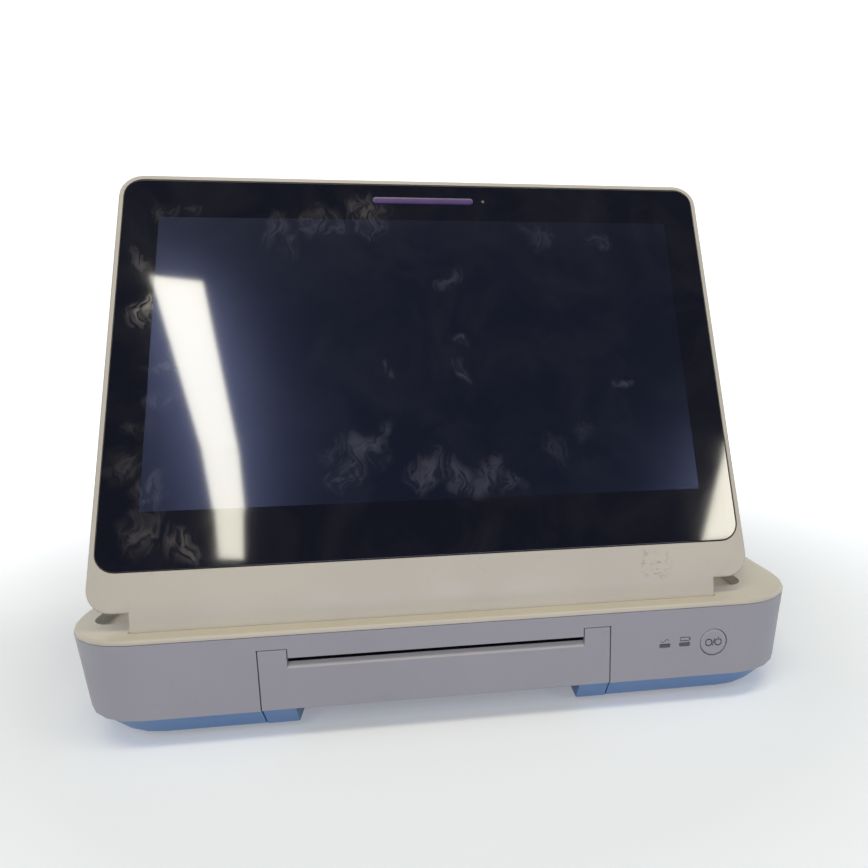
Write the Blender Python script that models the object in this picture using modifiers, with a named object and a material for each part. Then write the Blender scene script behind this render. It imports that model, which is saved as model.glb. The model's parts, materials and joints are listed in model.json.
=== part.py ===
"""Tabletop monitor: a low base with a fold-up touch screen hinged along its front edge,
and a strip-chart printer whose paper drawer pulls out of the front.

Metres, +Z up, +Y to the back. The origin is on the table, under the middle of the base.
"""
import math

import bmesh
import bpy
from mathutils import Matrix, Vector

# Clearances and build values
gap = 0.0003               # between pieces that touch
overrun = 0.002            # how far a cutter runs past the face that it cuts
lap = 0.0006               # how far joined forms reach into each other
corner_steps = 6           # facets in a large rounded corner
edge_steps = 3             # facets in a rounded edge
round_sides = 28           # facets round a turned piece
fine_sides = 56            # facets round a bore or a barrel that shows
post_sides = 16            # facets round a screw post
flank_steps = 4            # points along one flank of a gear tooth
match = 1e-7               # tolerance when edges are picked by their place
merge_distance = 1e-6      # for points on the axis of a turned piece
smooth_angle = math.radians(35)

# Base
side_deck = 0.023          # top cover beside the display
rear_deck = 0.04971        # top cover behind the folded display
base_corner = 0.038
base_middle = 0.008        # middle of the base, right of the middle of the display and drawer
foot_height = 0.004
tray_height = 0.0122
housing_height = 0.0388
deck_rise = 0.0022         # top cover above the seam, in front of the raised rear
deck_edge = 0.0018         # rounding of the cover's edge
side_lean = 0.004          # how far the side walls lean in towards the bottom
tray_step = 0.0008         # the tray is set in by this much below the housing
tray_slope = 0.008         # how far the tray's skirt slopes in
wall = 0.0026

# Display and its hinge
display_tilt = math.radians(21.8)    # back from upright, as it stands in use
barrel_radius = 0.007
barrel_overhang = 0.0016   # hinge barrel beyond each side of the screen
hinge_setback = 0.01544    # axis behind the front face
hinge_rise = 0.0055        # axis above the seam
screen_width = 0.2938
screen_height = 0.1658
screen_bottom = 0.05305    # from the hinge axis, along the display
print_side = 0.0195        # black print beside the screen
print_bottom = 0.0298
print_top = 0.0239
glass_corner = 0.0104
glass_thickness = 0.0020
display_rim = 0.0026       # bezel outside the glass
display_thickness = 0.016
display_foot = 0.0085      # lower edge of the display beside the hinge barrel
display_corner = 0.0128
bezel_depth = 0.0085       # front half of the display's thickness
rim_edge = 0.0009          # rounding of the bezel's front edge
alarm_length, alarm_height = 0.0592, 0.0042
alarm_drop = 0.0109        # middle of the alarm light below the top of the glass
round_share = 0.96         # of half the light's height, for ends that are almost half round
panel_border, panel_thickness = 0.003, 0.0034
display_board_width, display_board_height = 0.120, 0.070
display_board_y, display_board_lift = 0.110, 0.0015
shaft_radius, shaft_grip, shaft_inset = 0.002, 0.034, 0.002
bracket_inset, bracket_width = 0.012, 0.005  # from the barrel's end, and along the axis
bracket_plate, bracket_foot = 0.0014, 0.007  # thickness, and reach beyond the arm
eye_radius, arm_thickness = 0.0034, 0.0028
arm_clearance = 0.0006

# Top cover, with the well for the folded display
well_clearance = 0.0015    # behind the folded display
well_side_gap = 0.005
well_front_gap = 0.0024
well_corner = 0.010
trough_end_gap = 0.0007
fold_clearance = 0.0005
trough_clearance = 0.0006
raised_setback = 0.062     # the raised part starts this far behind the front face
raised_inset = 0.0015
raised_slope = 0.008
raised_edge = 0.004
raised_front_corner = 0.006
locating_rib = 0.003

# Front panel
button_inset = 0.0553      # from the right side of the base
button_drop = 0.0202
button_radius = 0.0073
button_clearance = 0.0003
button_length = 0.0080
button_travel = 0.0012
button_edge = 0.0006
light_drop = 0.0202
light_width = 0.0053
light_height = 0.0016
light_round_share = 0.33   # of the light's height
mains_light_inset = 0.0823
battery_light_inset = 0.0714
light_pipe_length = 0.0155
switch_gap = 0.0003
switch_size = 0.006
control_board_depth = 0.0016
control_board_margin = 0.012
control_board_edge = 0.0036          # control board beyond the middle of the mains light

# Sockets on the left side, connectors and their plate at the rear
socket_names = ("ultrasound_socket_1", "ultrasound_socket_2", "contraction_socket", "marker_socket")
first_socket, socket_pitch = 0.064, 0.030    # behind the front face
socket_z = 0.031
socket_radius = 0.0105
socket_flange = 0.0124
socket_flange_depth = 0.0012
socket_depth = 0.016
socket_bore = 0.0068
socket_bore_depth = 0.012
inlet_inset, post_inset_x = 0.088, 0.048     # from the right side of the base
network_inset, usb_inset = 0.124, 0.092      # from the left side of the base
connector_z = 0.0355
plate_left_inset, plate_right_inset = 0.074, 0.034
plate_low, plate_high = 0.0186, 0.0524
inlet_width, inlet_height, inlet_depth = 0.030, 0.0236, 0.022
inlet_flange, inlet_flange_depth = 0.004, 0.0014
network_width, network_height, network_depth = 0.0162, 0.0136, 0.016
usb_width, usb_height, usb_depth = 0.0146, 0.0076, 0.014
connector_wall = 0.00095
post_radius, post_reach, post_nut_radius, post_nut = 0.003, 0.005, 0.0058, 0.002

# Bottom tray and what stands in it
tray_floor = 0.0026
foot_radius = 0.0095
foot_recess = 0.0008
foot_edge = 0.001
foot_inset_x, foot_inset_y = 0.030, 0.036
battery_length, battery_height = 0.082, 0.021
battery_setback = 0.096    # middle of the battery behind the front face
battery_width_share, battery_place_share = 0.735, 0.38   # of the room left of the paper bay
door_margin = 0.003
grille_slots, grille_slot_width, grille_slot_length, grille_pitch = 5, 0.0024, 0.034, 0.0056
speaker_setback, speaker_height, speaker_rim = 0.068, 0.020, 0.005
speaker_share, speaker_place_share = 0.215, 0.425        # of the room right of the paper bay
magnet_share = 0.62        # of the speaker's radius
board_inset_x, board_width, board_front_gap, board_rear_gap = 0.026, 0.156, 0.025, 0.020
board_lift, board_thickness = 0.013, 0.0016
post_inset, board_post_radius = 0.007, 0.0032
supply_x, supply_inset, supply_height = 0.030, 0.054, 0.034
supply_front_gap, supply_rear_gap = 0.039, 0.030

# Paper drawer
paper_width = 0.150
paper_length = 0.088
paper_stack = 0.014
drawer_side = 0.0129       # drawer front beyond each side of the paper
drawer_top_drop = 0.0076   # top of the drawer's ears under the seam
slot_edge = 0.0007         # paper slot short of each side of the paper
slot_drop = 0.0119         # top of the paper slot under the seam
slot_height = 0.003
lip_drop = 0.0184          # lower edge of the chamfered lip under the seam
drawer_front_depth = 0.0032
drawer_rear = 0.124        # back of the drawer behind the front face
drawer_floor_z = 0.008
drawer_clearance = 0.0005
recess_depth = 0.021       # finger recess under the drawer front
finger_block = 0.0159      # blue block at each side of the finger recess
skirt_wall = 0.0024
tray_wall = 0.0025
tray_clearance = 0.0015    # each side of the paper
low_wall_top, high_wall_top = 0.030, 0.042
bearing_reach = 0.006
runner_z, runner_height = 0.020, 0.0024

# Bay in the base that the drawer slides in, and the print head
bay_wall = 0.0026
bay_gap = 0.0017           # from the drawer front's edge to the inside of the bay wall
bay_rear_gap = 0.009
bay_top = 0.046
ledge_depth, ledge_height = 0.0045, 0.002
head_thickness, head_height, head_z = 0.0015, 0.011, 0.031
bracket_sheet, bracket_flange = 0.002, 0.019

# Platen and gear train
gear_module = 0.0008
platen_teeth, idler_teeth, pinion_teeth = 20, 18, 14
pressure_angle = math.radians(25)
addendum_share = 0.9       # of the module
dedendum_share = 1.2       # of the module
backlash = 0.00016
gear_width = 0.004
gear_offset = 0.0012       # from the drawer's side wall to the gears
platen_radius = 0.007
platen_setback = 0.016     # platen axis behind the front face
platen_z = 0.036
platen_shaft_radius = 0.003
motor_radius, motor_length = 0.012, 0.016
motor_shaft_radius = 0.0015
idler_pin_radius = 0.0019

# Outline of the display and of the base round it
glass_width = screen_width + 2 * print_side
glass_bottom = screen_bottom - print_bottom
glass_top = screen_bottom + screen_height + print_top
alarm_centre = glass_top - alarm_drop
display_half = glass_width / 2 + display_rim
display_top = glass_top + display_rim
display_front = barrel_radius
display_rear = display_front - display_thickness
parting = display_front - bezel_depth            # between the two halves of its case
glass_seat = display_front - glass_thickness - gap
glass_ledge = glass_seat - glass_thickness
board_seat = display_rear + wall + display_board_lift
fold_angle = math.pi / 2 - display_tilt
base_width = 2 * (display_half + side_deck)
base_depth = hinge_setback + display_top + well_clearance + rear_deck
front = -base_depth / 2
back = base_depth / 2
side = base_width / 2
left = base_middle - side
right = base_middle + side
tray_bottom = foot_height
housing_bottom = tray_bottom + tray_height
seam = housing_bottom + housing_height
deck = seam + deck_rise
floor_top = tray_bottom + tray_floor
tray_half = side - side_lean - tray_step
tray_end = base_depth / 2 - tray_step
lean_angle = math.atan(side_lean / housing_height)

# Hinge, its trough and the well that the display folds into
hinge_y = front + hinge_setback
hinge_z = seam + hinge_rise
barrel_half = screen_width / 2 + barrel_overhang
raised_top = hinge_z + display_front
raised_y = front + raised_setback
well_half = display_half + well_side_gap
well_front = hinge_y + display_foot - well_front_gap
well_floor = hinge_z + display_rear - fold_clearance
well_rear = hinge_y + display_top + well_clearance
trough_radius = barrel_radius + trough_clearance
pan_under = well_floor - wall + trough_clearance
trough_half = barrel_half + trough_end_gap
arm_far = barrel_half - bracket_inset
arm_near = arm_far - bracket_width
arm_space = arm_thickness / 2 + arm_clearance    # from the axis, on each side of the arm

# Places on the front panel and at the rear
button_x = right - button_inset
button_z = seam - button_drop
mains_light_x = right - mains_light_inset
battery_light_x = right - battery_light_inset
light_z = seam - light_drop
socket_y = [front + first_socket + index * socket_pitch for index in range(len(socket_names))]
inlet_x = right - inlet_inset
post_x = right - post_inset_x
network_x = left + network_inset
usb_x = left + usb_inset

# Drawer, paper bay and gears
drawer_half = paper_width / 2 + drawer_side
slot_half = paper_width / 2 - slot_edge
finger_half = drawer_half - finger_block
ear_top = seam - drawer_top_drop
slot_top = seam - slot_drop
lip_bottom = seam - lip_drop
tray_inner = paper_width / 2 + tray_clearance
tray_outer = tray_inner + tray_wall
drawer_back = front + drawer_front_depth + gap
skirt_rear = recess_depth + skirt_wall           # behind the front face
drawer_end = front + drawer_rear
bay_inner = drawer_half - bay_gap
bay_outer = bay_inner + bay_wall
bay_front = front + drawer_front_depth + 2 * gap
bay_end = drawer_end + bay_rear_gap
gear_x = tray_outer + gear_offset
platen_y = front + platen_setback
idler_y = platen_y + gear_module * (platen_teeth + idler_teeth) / 2
pinion_y = idler_y + gear_module * (idler_teeth + pinion_teeth) / 2

# Units inside the base, in the room left and right of the paper bay
left_room = -left - bay_outer
right_room = right - bay_outer
battery_width = battery_width_share * left_room
battery_x = -bay_outer - battery_place_share * left_room
battery_y = front + battery_setback
speaker_radius = speaker_share * right_room
speaker_magnet = magnet_share * speaker_radius
speaker_x = bay_outer + speaker_place_share * right_room
speaker_y = front + speaker_setback
board_low = (left + board_inset_x, bay_end + board_front_gap)
board_high = (left + board_inset_x + board_width, back - board_rear_gap)
supply_low = (supply_x, bay_end + supply_front_gap)
supply_high = (right - supply_inset, back - supply_rear_gap)


def clear_scene():
    for item in list(bpy.data.objects):
        bpy.data.objects.remove(item, do_unlink=True)


def make_collections():
    parts = bpy.data.collections.new("cardiotocograph")
    cutters = bpy.data.collections.new("cutters")
    for group in (parts, cutters):
        bpy.context.scene.collection.children.link(group)
    return parts, cutters


clear_scene()
PARTS, CUTTERS = make_collections()


def srgb(hex_colour):
    """Linear colour of an sRGB hex value."""
    channels = [int(hex_colour[i:i + 2], 16) / 255 for i in (0, 2, 4)]
    linear = [c / 12.92 if c <= 0.04045 else ((c + 0.055) / 1.055) ** 2.4 for c in channels]
    return (*linear, 1.0)


def finish(name, hex_colour, roughness, metallic=0.0):
    made = bpy.data.materials.new(name)
    made.use_nodes = True
    shader = made.node_tree.nodes["Principled BSDF"]
    shader.inputs["Base Color"].default_value = srgb(hex_colour)
    shader.inputs["Roughness"].default_value = roughness
    shader.inputs["Metallic"].default_value = metallic
    made.diffuse_color = srgb(hex_colour)
    return made


def object_from(bm, name, cutter=False, parent=None, location=None):
    """Puts a bmesh in an object, in the parts or in the cutters."""
    bmesh.ops.recalc_face_normals(bm, faces=bm.faces)
    mesh = bpy.data.meshes.new(name)
    bm.to_mesh(mesh)
    bm.free()
    made = bpy.data.objects.new(name, mesh)
    (CUTTERS if cutter else PARTS).objects.link(made)
    if cutter:
        made.hide_render = True
        made.display_type = "WIRE"
    if parent:
        made.parent = parent
    if location:
        made.location = location
    return made


def dress(made, look, smooth=True):
    made.data.materials.clear()
    made.data.materials.append(look)
    if smooth:
        made.data.shade_smooth()
        made.data.set_sharp_from_angle(angle=smooth_angle)
    return made


def edges_at(bm, axis, value):
    """Edges that lie in the plane where the given axis has this value."""
    return [e for e in bm.edges if all(abs(v.co[axis] - value) < match for v in e.verts)]


def upright_edges(bm, keep):
    return [e for e in bm.edges
            if abs(e.verts[0].co.x - e.verts[1].co.x) < match
            and abs(e.verts[0].co.y - e.verts[1].co.y) < match and keep(e.verts[0].co)]


def round_edges(bm, edges, radius, steps):
    bmesh.ops.bevel(bm, geom=edges, offset=radius, segments=steps, profile=0.5,
                    affect="EDGES", clamp_overlap=True)


def block(name, low, high, corner=0, corner_front=None, corner_back=None, top_edge=0,
          bottom_edge=0, steps=corner_steps, shape=None, **place):
    """A box between two corners, with its upright, top and bottom edges rounded."""
    bm = bmesh.new()
    bmesh.ops.create_cube(bm, size=1)
    low, high = Vector(low), Vector(high)
    middle = (low + high) / 2
    for vert in bm.verts:
        vert.co = middle + Vector(c * s for c, s in zip(vert.co, high - low))
    radius_front = corner if corner_front is None else corner_front
    radius_back = corner if corner_back is None else corner_back
    if radius_front:
        round_edges(bm, upright_edges(bm, lambda p: p.y < middle.y), radius_front, steps)
    if radius_back:
        round_edges(bm, upright_edges(bm, lambda p: p.y > middle.y), radius_back, steps)
    if top_edge:
        round_edges(bm, edges_at(bm, 2, high.z), top_edge, edge_steps)
    if bottom_edge:
        round_edges(bm, edges_at(bm, 2, low.z), bottom_edge, edge_steps)
    if shape:
        for vert in bm.verts:
            vert.co = shape(vert.co)
    return object_from(bm, name, **place)


def rod(name, radius, start, end, sides=round_sides, end_radius=None, **place):
    """A round bar between two points, capped at both ends."""
    start, end = Vector(start), Vector(end)
    along = end - start
    turn = along.to_track_quat("Z", "Y").to_matrix().to_4x4()
    bm = bmesh.new()
    bmesh.ops.create_cone(bm, cap_ends=True, segments=sides, radius1=radius,
                          radius2=radius if end_radius is None else end_radius, depth=along.length,
                          matrix=Matrix.Translation((start + end) / 2) @ turn)
    return object_from(bm, name, **place)


def turned(name, profile, location=(0, 0, 0), turn=(0, 0, 0), parent=None):
    """A solid turned form: a profile of (radius, height) that starts and ends on the axis,
    from its top down its outer side, turned by a Screw modifier."""
    bm = bmesh.new()
    line = [bm.verts.new((radius, 0, height)) for radius, height in profile]
    for first, second in zip(line, line[1:]):
        bm.edges.new((first, second))
    mesh = bpy.data.meshes.new(name)
    bm.to_mesh(mesh)
    bm.free()
    made = bpy.data.objects.new(name, mesh)
    PARTS.objects.link(made)
    screw = made.modifiers.new("turn", "SCREW")
    screw.steps = screw.render_steps = round_sides
    screw.use_merge_vertices = True
    screw.merge_threshold = merge_distance
    made.location = location
    made.rotation_euler = turn
    made.parent = parent
    return made


def boolean(target, other, operation):
    step = target.modifiers.new(operation.lower() + "_" + other.name, "BOOLEAN")
    step.operation = operation
    step.solver = "EXACT"
    step.object = other


def cut(target, *others):
    for other in others:
        boolean(target, other, "DIFFERENCE")


def join(target, *others):
    for other in others:
        boolean(target, other, "UNION")


def empty(name, location, rotation=(0, 0, 0), parent=None):
    made = bpy.data.objects.new(name, None)
    made.location = location
    made.rotation_euler = rotation
    made.parent = parent
    PARTS.objects.link(made)
    return made


# Finishes
CREAM = finish("cream_abs", "C9C2B5", 0.45)
GREY_WHITE = finish("grey_white_abs", "C4C1BD", 0.45)
BLUE = finish("blue_abs", "5F8DB5", 0.45)
BLACK_GLASS = finish("black_printed_glass", "11151F", 0.06)
SCREEN = finish("screen_polariser", "1B2234", 0.2)
PURPLE = finish("alarm_light_diffuser", "6B4A80", 0.35)
SMOKE = finish("smoked_lens", "4A4850", 0.3)
BLACK = finish("black_abs", "1B1B1D", 0.5)
RUBBER = finish("black_rubber", "202022", 0.8)
STEEL = finish("zinc_plated_steel", "B4B6B8", 0.35, 1.0)
ALUMINIUM = finish("aluminium", "C3C5C8", 0.35, 1.0)
NYLON = finish("white_nylon", "E6E3DA", 0.5)
BOARD = finish("green_circuit_board", "1F5A38", 0.5)
PAPER = finish("thermal_paper", "EFE9E4", 0.8)
CERAMIC = finish("print_head_ceramic", "D9D3C4", 0.3)
BATTERY_WRAP = finish("battery_wrap", "2F4A6B", 0.5)


def mirrored(maker):
    """Runs a maker for the left and for the right side."""
    return [maker(name, sign) for name, sign in (("left", -1), ("right", 1))]


def span(sign, near, far):
    """Low and high x of a stretch between two distances from the middle, on one side."""
    return (near, far) if sign > 0 else (-far, -near)


def make_top_cover():
    cover = block("top_cover", (left, front, seam), (right, back, deck), base_corner,
                  top_edge=deck_edge)

    def slope_front(point):
        lean = raised_slope * (point.z - seam) / (raised_top - seam)
        return Vector((point.x, point.y + (lean if point.y < raised_y + raised_edge * 2 else 0), point.z))

    def slope_pan(point):
        lean = raised_slope + wall if point.y < 0 and point.z > seam else 0
        return Vector((point.x, point.y + lean, point.z))

    raised = block("raised_form", (left + raised_inset, raised_y, seam + lap),
                   (right - raised_inset, back - raised_inset, raised_top),
                   corner_front=raised_front_corner, corner_back=base_corner - raised_inset,
                   top_edge=raised_edge, shape=slope_front, cutter=True)
    hollow = block("raised_hollow", (left + raised_inset + wall, raised_y + wall, seam - overrun),
                   (right - raised_inset - wall, back - raised_inset - wall, raised_top - wall),
                   corner_front=raised_front_corner, corner_back=base_corner - raised_inset - wall,
                   shape=slope_front, cutter=True)
    pan_half = well_half + wall
    pan = block("pan_form", (-pan_half, well_front - wall, pan_under),
                (pan_half, raised_y + wall + raised_slope, deck - lap),
                corner_front=well_corner + wall, cutter=True)
    trough_pan = block("trough_pan_form",
                       (-trough_half - wall, hinge_y - trough_radius - wall, pan_under),
                       (trough_half + wall, well_front, deck - lap), cutter=True)
    pan_rear = block("pan_rear_form", (-pan_half, raised_y, pan_under),
                     (pan_half, well_rear + wall, raised_top - lap), shape=slope_pan, cutter=True)
    rib_outer = block("rib_form", (left + side_lean + wall, front + wall + gap, seam - locating_rib),
                      (right - side_lean - wall, back - wall - gap, seam + lap),
                      corner=base_corner - wall - gap, cutter=True)
    rib_inner = block("rib_hollow", (left + side_lean + 2 * wall, front + 2 * wall,
                                     seam - locating_rib - overrun),
                      (right - side_lean - 2 * wall, back - 2 * wall, seam),
                      corner=base_corner - 2 * wall, cutter=True)
    well = block("well_space", (-well_half, well_front, well_floor),
                 (well_half, well_rear, raised_top + overrun), corner=well_corner, cutter=True)
    middle = block("well_middle_space", (-trough_half, hinge_y, well_floor),
                   (trough_half, hinge_y + display_foot, raised_top + overrun), cutter=True)
    trough = rod("trough_space", trough_radius, (-trough_half, hinge_y, hinge_z),
                 (trough_half, hinge_y, hinge_z), sides=fine_sides, cutter=True)

    def arm_hole(name, sign):
        x0, x1 = span(sign, arm_near - arm_clearance, arm_far + arm_clearance)
        return block("arm_hole_" + name, (x0, hinge_y - arm_space, pan_under - overrun),
                     (x1, hinge_y + arm_space, hinge_z), cutter=True)

    join(cover, rib_outer)
    cut(cover, rib_inner)
    join(cover, raised)
    cut(cover, hollow)
    join(cover, pan, trough_pan, pan_rear)
    cut(cover, well, middle, trough, *mirrored(arm_hole))
    return dress(cover, CREAM)


def lean_in(point):
    """Moves a point of a side wall in towards the middle, more the lower it is."""
    share = (seam - point.z) / (seam - housing_bottom)
    x = base_middle + (point.x - base_middle) * (1 - side_lean * share / side)
    return Vector((x, point.y, point.z))


def make_housing():
    opening_half = drawer_half + drawer_clearance
    opening_top = ear_top + drawer_clearance
    tab_half = slot_half - drawer_clearance
    housing = block("housing", (left, front, housing_bottom), (right, back, seam - gap), base_corner,
                    shape=lean_in)
    hollow = block("housing_hollow", (left + wall, front + wall, housing_bottom - overrun),
                   (right - wall, back - wall, seam + overrun), base_corner - wall, shape=lean_in,
                   cutter=True)
    opening = block("drawer_opening", (-opening_half, front - overrun, housing_bottom - overrun),
                    (opening_half, front + wall + overrun, opening_top), cutter=True)
    tab = block("slot_tab", (-tab_half, front, slot_top), (tab_half, front + wall, opening_top + lap),
                cutter=True)
    cut(housing, hollow, opening)
    join(housing, tab)
    cut(housing, rod("button_hole", button_radius + button_clearance,
                     (button_x, front - overrun, button_z), (button_x, front + wall + overrun, button_z),
                     sides=fine_sides, cutter=True))
    for name, x in (("mains", mains_light_x), ("battery", battery_light_x)):
        cut(housing, light_form(name + "_light_hole", x, front - overrun, wall + 2 * overrun, gap,
                                cutter=True))
    for name, y in zip(socket_names, socket_y):
        centre, outward = socket_seat(y)
        cut(housing, rod(name + "_hole", socket_radius + gap, centre + outward * socket_flange,
                         centre - outward * socket_depth, cutter=True))
    cut(housing, plate_form("rear_plate_hole", overrun, gap, cutter=True))
    return dress(housing, GREY_WHITE)


def plate_form(name, run, grow=0, **place):
    """The connector plate in the rear wall; run is how far it goes past the wall on both sides."""
    return block(name, (left + plate_left_inset - grow, back - wall - run, plate_low - grow),
                 (right - plate_right_inset + grow, back + run, plate_high + grow), **place)


def make_rear_plate():
    plate = plate_form("rear_plate", 0)
    near, far = back - wall - overrun, back + overrun
    for name, x, width, height in (("mains_inlet", inlet_x, inlet_width, inlet_height),
                                   ("network_socket", network_x, network_width, network_height),
                                   ("usb_socket", usb_x, usb_width, usb_height)):
        half, rise = width / 2 + gap, height / 2 + gap
        cut(plate, block(name + "_hole", (x - half, near, connector_z - rise),
                         (x + half, far, connector_z + rise), cutter=True))
    cut(plate, rod("earth_post_hole", post_radius + gap, (post_x, near, connector_z),
                   (post_x, far, connector_z), cutter=True))
    dress(plate, GREY_WHITE, smooth=False)


def socket_seat(y):
    """Middle of a socket on the leaning left wall, and the wall's outward direction."""
    lean_here = side_lean * (seam - socket_z) / housing_height
    outward = Vector((-math.cos(lean_angle), 0, -math.sin(lean_angle)))
    return Vector((left + lean_here, y, socket_z)), outward


def light_form(name, x, y, depth, grow=0, **place):
    """A small window with rounded ends, which runs back from the front face."""
    bm = bmesh.new()
    bmesh.ops.create_cube(bm, size=1)
    size = Vector((light_width + 2 * grow, depth, light_height + 2 * grow))
    centre = Vector((x, y + depth / 2, light_z))
    for vert in bm.verts:
        vert.co = centre + Vector(c * s for c, s in zip(vert.co, size))
    ends = [e for e in bm.edges if abs(e.verts[0].co.x - e.verts[1].co.x) < match
            and abs(e.verts[0].co.z - e.verts[1].co.z) < match]
    round_edges(bm, ends, light_height * light_round_share, edge_steps)
    return object_from(bm, name, **place)


def make_lights():
    for name, x in (("mains_light", mains_light_x), ("battery_light", battery_light_x)):
        dress(light_form(name, x, front, light_pipe_length), SMOKE)


def tray_slope_in(point):
    """Moves a point of the tray's skirt in towards the middle, more the lower it is."""
    share = (housing_bottom - point.z) / (housing_bottom - tray_bottom)
    x = base_middle + (point.x - base_middle) * (1 - tray_slope * share / tray_half)
    return Vector((x, point.y * (1 - tray_slope * share / tray_end), point.z))


def door_form(name, low_z, high_z, grow=0, **place):
    """The battery door's outline, a margin larger than the battery."""
    half_x = battery_width / 2 + door_margin + grow
    half_y = battery_length / 2 + door_margin + grow
    return block(name, (battery_x - half_x, battery_y - half_y, low_z),
                 (battery_x + half_x, battery_y + half_y, high_z), corner=door_margin, **place)


def make_bottom_tray():
    below, above = tray_bottom - overrun, floor_top + overrun
    notch_half = drawer_half + drawer_clearance
    tray = block("bottom_tray", (base_middle - tray_half, -tray_end, tray_bottom),
                 (base_middle + tray_half, tray_end, housing_bottom - gap),
                 base_corner - tray_step, bottom_edge=deck_edge, shape=tray_slope_in)
    hollow = block("tray_hollow", (base_middle - tray_half + wall, -tray_end + wall, floor_top),
                   (base_middle + tray_half - wall, tray_end - wall, housing_bottom + overrun),
                   base_corner - tray_step - wall, shape=tray_slope_in, cutter=True)
    notch = block("drawer_notch", (-notch_half, front - overrun, below),
                  (notch_half, front + skirt_rear + drawer_clearance, housing_bottom + overrun),
                  cutter=True)
    cut(tray, hollow, notch, door_form("battery_door_hole", below, above, gap, cutter=True))
    for x, y in board_posts():
        join(tray, rod("board_post", board_post_radius, (x, y, tray_bottom + lap),
                       (x, y, floor_top + board_lift), sides=post_sides, cutter=True))
    for index in range(grille_slots):
        y = speaker_y + (index - (grille_slots - 1) / 2) * grille_pitch
        half_x, half_y = grille_slot_length / 2, grille_slot_width / 2
        cut(tray, block("grille_slot", (speaker_x - half_x, y - half_y, below),
                        (speaker_x + half_x, y + half_y, above), cutter=True))
    for x, y in foot_places():
        cut(tray, rod("foot_recess", foot_radius + gap, (x, y, tray_bottom - overrun),
                      (x, y, tray_bottom + foot_recess), cutter=True))
    return dress(tray, BLUE)


def board_posts():
    return [(x, y) for x in (board_low[0] + post_inset, board_high[0] - post_inset)
            for y in (board_low[1] + post_inset, board_high[1] - post_inset)]


def foot_places():
    y = base_depth / 2 - foot_inset_y
    return [(x, y * end) for end in (-1, 1) for x in (left + foot_inset_x, right - foot_inset_x)]


def make_feet():
    top = tray_bottom + foot_recess - gap
    names = ("foot_front_left", "foot_front_right", "foot_rear_left", "foot_rear_right")
    for name, (x, y) in zip(names, foot_places()):
        profile = [(0, top), (foot_radius, top), (foot_radius, foot_edge),
                   (foot_radius - foot_edge, 0), (0, 0)]
        dress(turned(name, profile, (x, y, 0)), RUBBER)


def make_battery():
    dress(door_form("battery_door", tray_bottom, floor_top - gap), BLUE)
    half_x, half_y = battery_width / 2, battery_length / 2
    pack = block("battery_pack", (battery_x - half_x, battery_y - half_y, floor_top),
                 (battery_x + half_x, battery_y + half_y, floor_top + battery_height),
                 corner=door_margin, steps=edge_steps)
    dress(pack, BATTERY_WRAP)


def make_inner_units():
    z = floor_top + board_lift + gap
    dress(block("main_board", (*board_low, z), (*board_high, z + board_thickness)), BOARD, smooth=False)
    base_z = floor_top + gap
    supply = block("power_supply", (*supply_low, base_z), (*supply_high, base_z + supply_height))
    dress(supply, ALUMINIUM, smooth=False)
    profile = [(0, speaker_height), (speaker_magnet, speaker_height), (speaker_magnet, 2 * speaker_rim),
               (speaker_radius, speaker_rim), (speaker_radius, 0), (0, 0)]
    dress(turned("speaker", profile, (speaker_x, speaker_y, base_z)), BLACK)


def make_sockets():
    for name, y in zip(socket_names, socket_y):
        centre, outward = socket_seat(y)
        face = socket_flange_depth + gap
        profile = [(0, face), (socket_flange, face), (socket_flange, gap), (socket_radius, gap),
                   (socket_radius, -socket_depth), (0, -socket_depth)]
        socket = turned(name, profile, centre, (0, -math.pi / 2 - lean_angle, 0))
        bore = rod(name + "_bore", socket_bore, centre + outward * (face + overrun),
                   centre + outward * (face - socket_bore_depth), cutter=True)
        cut(socket, bore)
        dress(socket, BLACK)


def connector_box(name, x, width, height, near, far, **place):
    """A box round a connector's axis, between two depths."""
    return block(name, (x - width / 2, near, connector_z - height / 2),
                 (x + width / 2, far, connector_z + height / 2), **place)


def make_rear_connectors():
    flange_y = back + gap
    inlet = connector_box("mains_inlet", inlet_x, inlet_width, inlet_height, flange_y - inlet_depth,
                          flange_y + inlet_flange_depth / 2)
    join(inlet, connector_box("inlet_flange", inlet_x, inlet_width + 2 * inlet_flange,
                              inlet_height + 2 * inlet_flange, flange_y,
                              flange_y + inlet_flange_depth, cutter=True))
    cut(inlet, connector_box("inlet_mouth", inlet_x, inlet_width - 2 * wall, inlet_height - 2 * wall,
                             flange_y - inlet_depth + wall, flange_y + inlet_flange_depth + overrun,
                             cutter=True))
    dress(inlet, BLACK, smooth=False)
    for name, x, width, height, depth in (
            ("network_socket", network_x, network_width, network_height, network_depth),
            ("usb_socket", usb_x, usb_width, usb_height, usb_depth)):
        shell = connector_box(name, x, width, height, back - depth, back)
        cut(shell, connector_box(name + "_mouth", x, width - 2 * connector_wall,
                                 height - 2 * connector_wall, back - depth + wall, back + overrun,
                                 cutter=True))
        dress(shell, STEEL, smooth=False)
    profile = [(0, post_reach), (post_radius, post_reach), (post_radius, gap + post_nut),
               (post_nut_radius, gap + post_nut), (post_nut_radius, gap), (post_radius, gap),
               (post_radius, -wall - post_nut), (0, -wall - post_nut)]
    post = turned("earth_post", profile, (post_x, back, connector_z), (-math.pi / 2, 0, 0))
    dress(post, STEEL)


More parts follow.
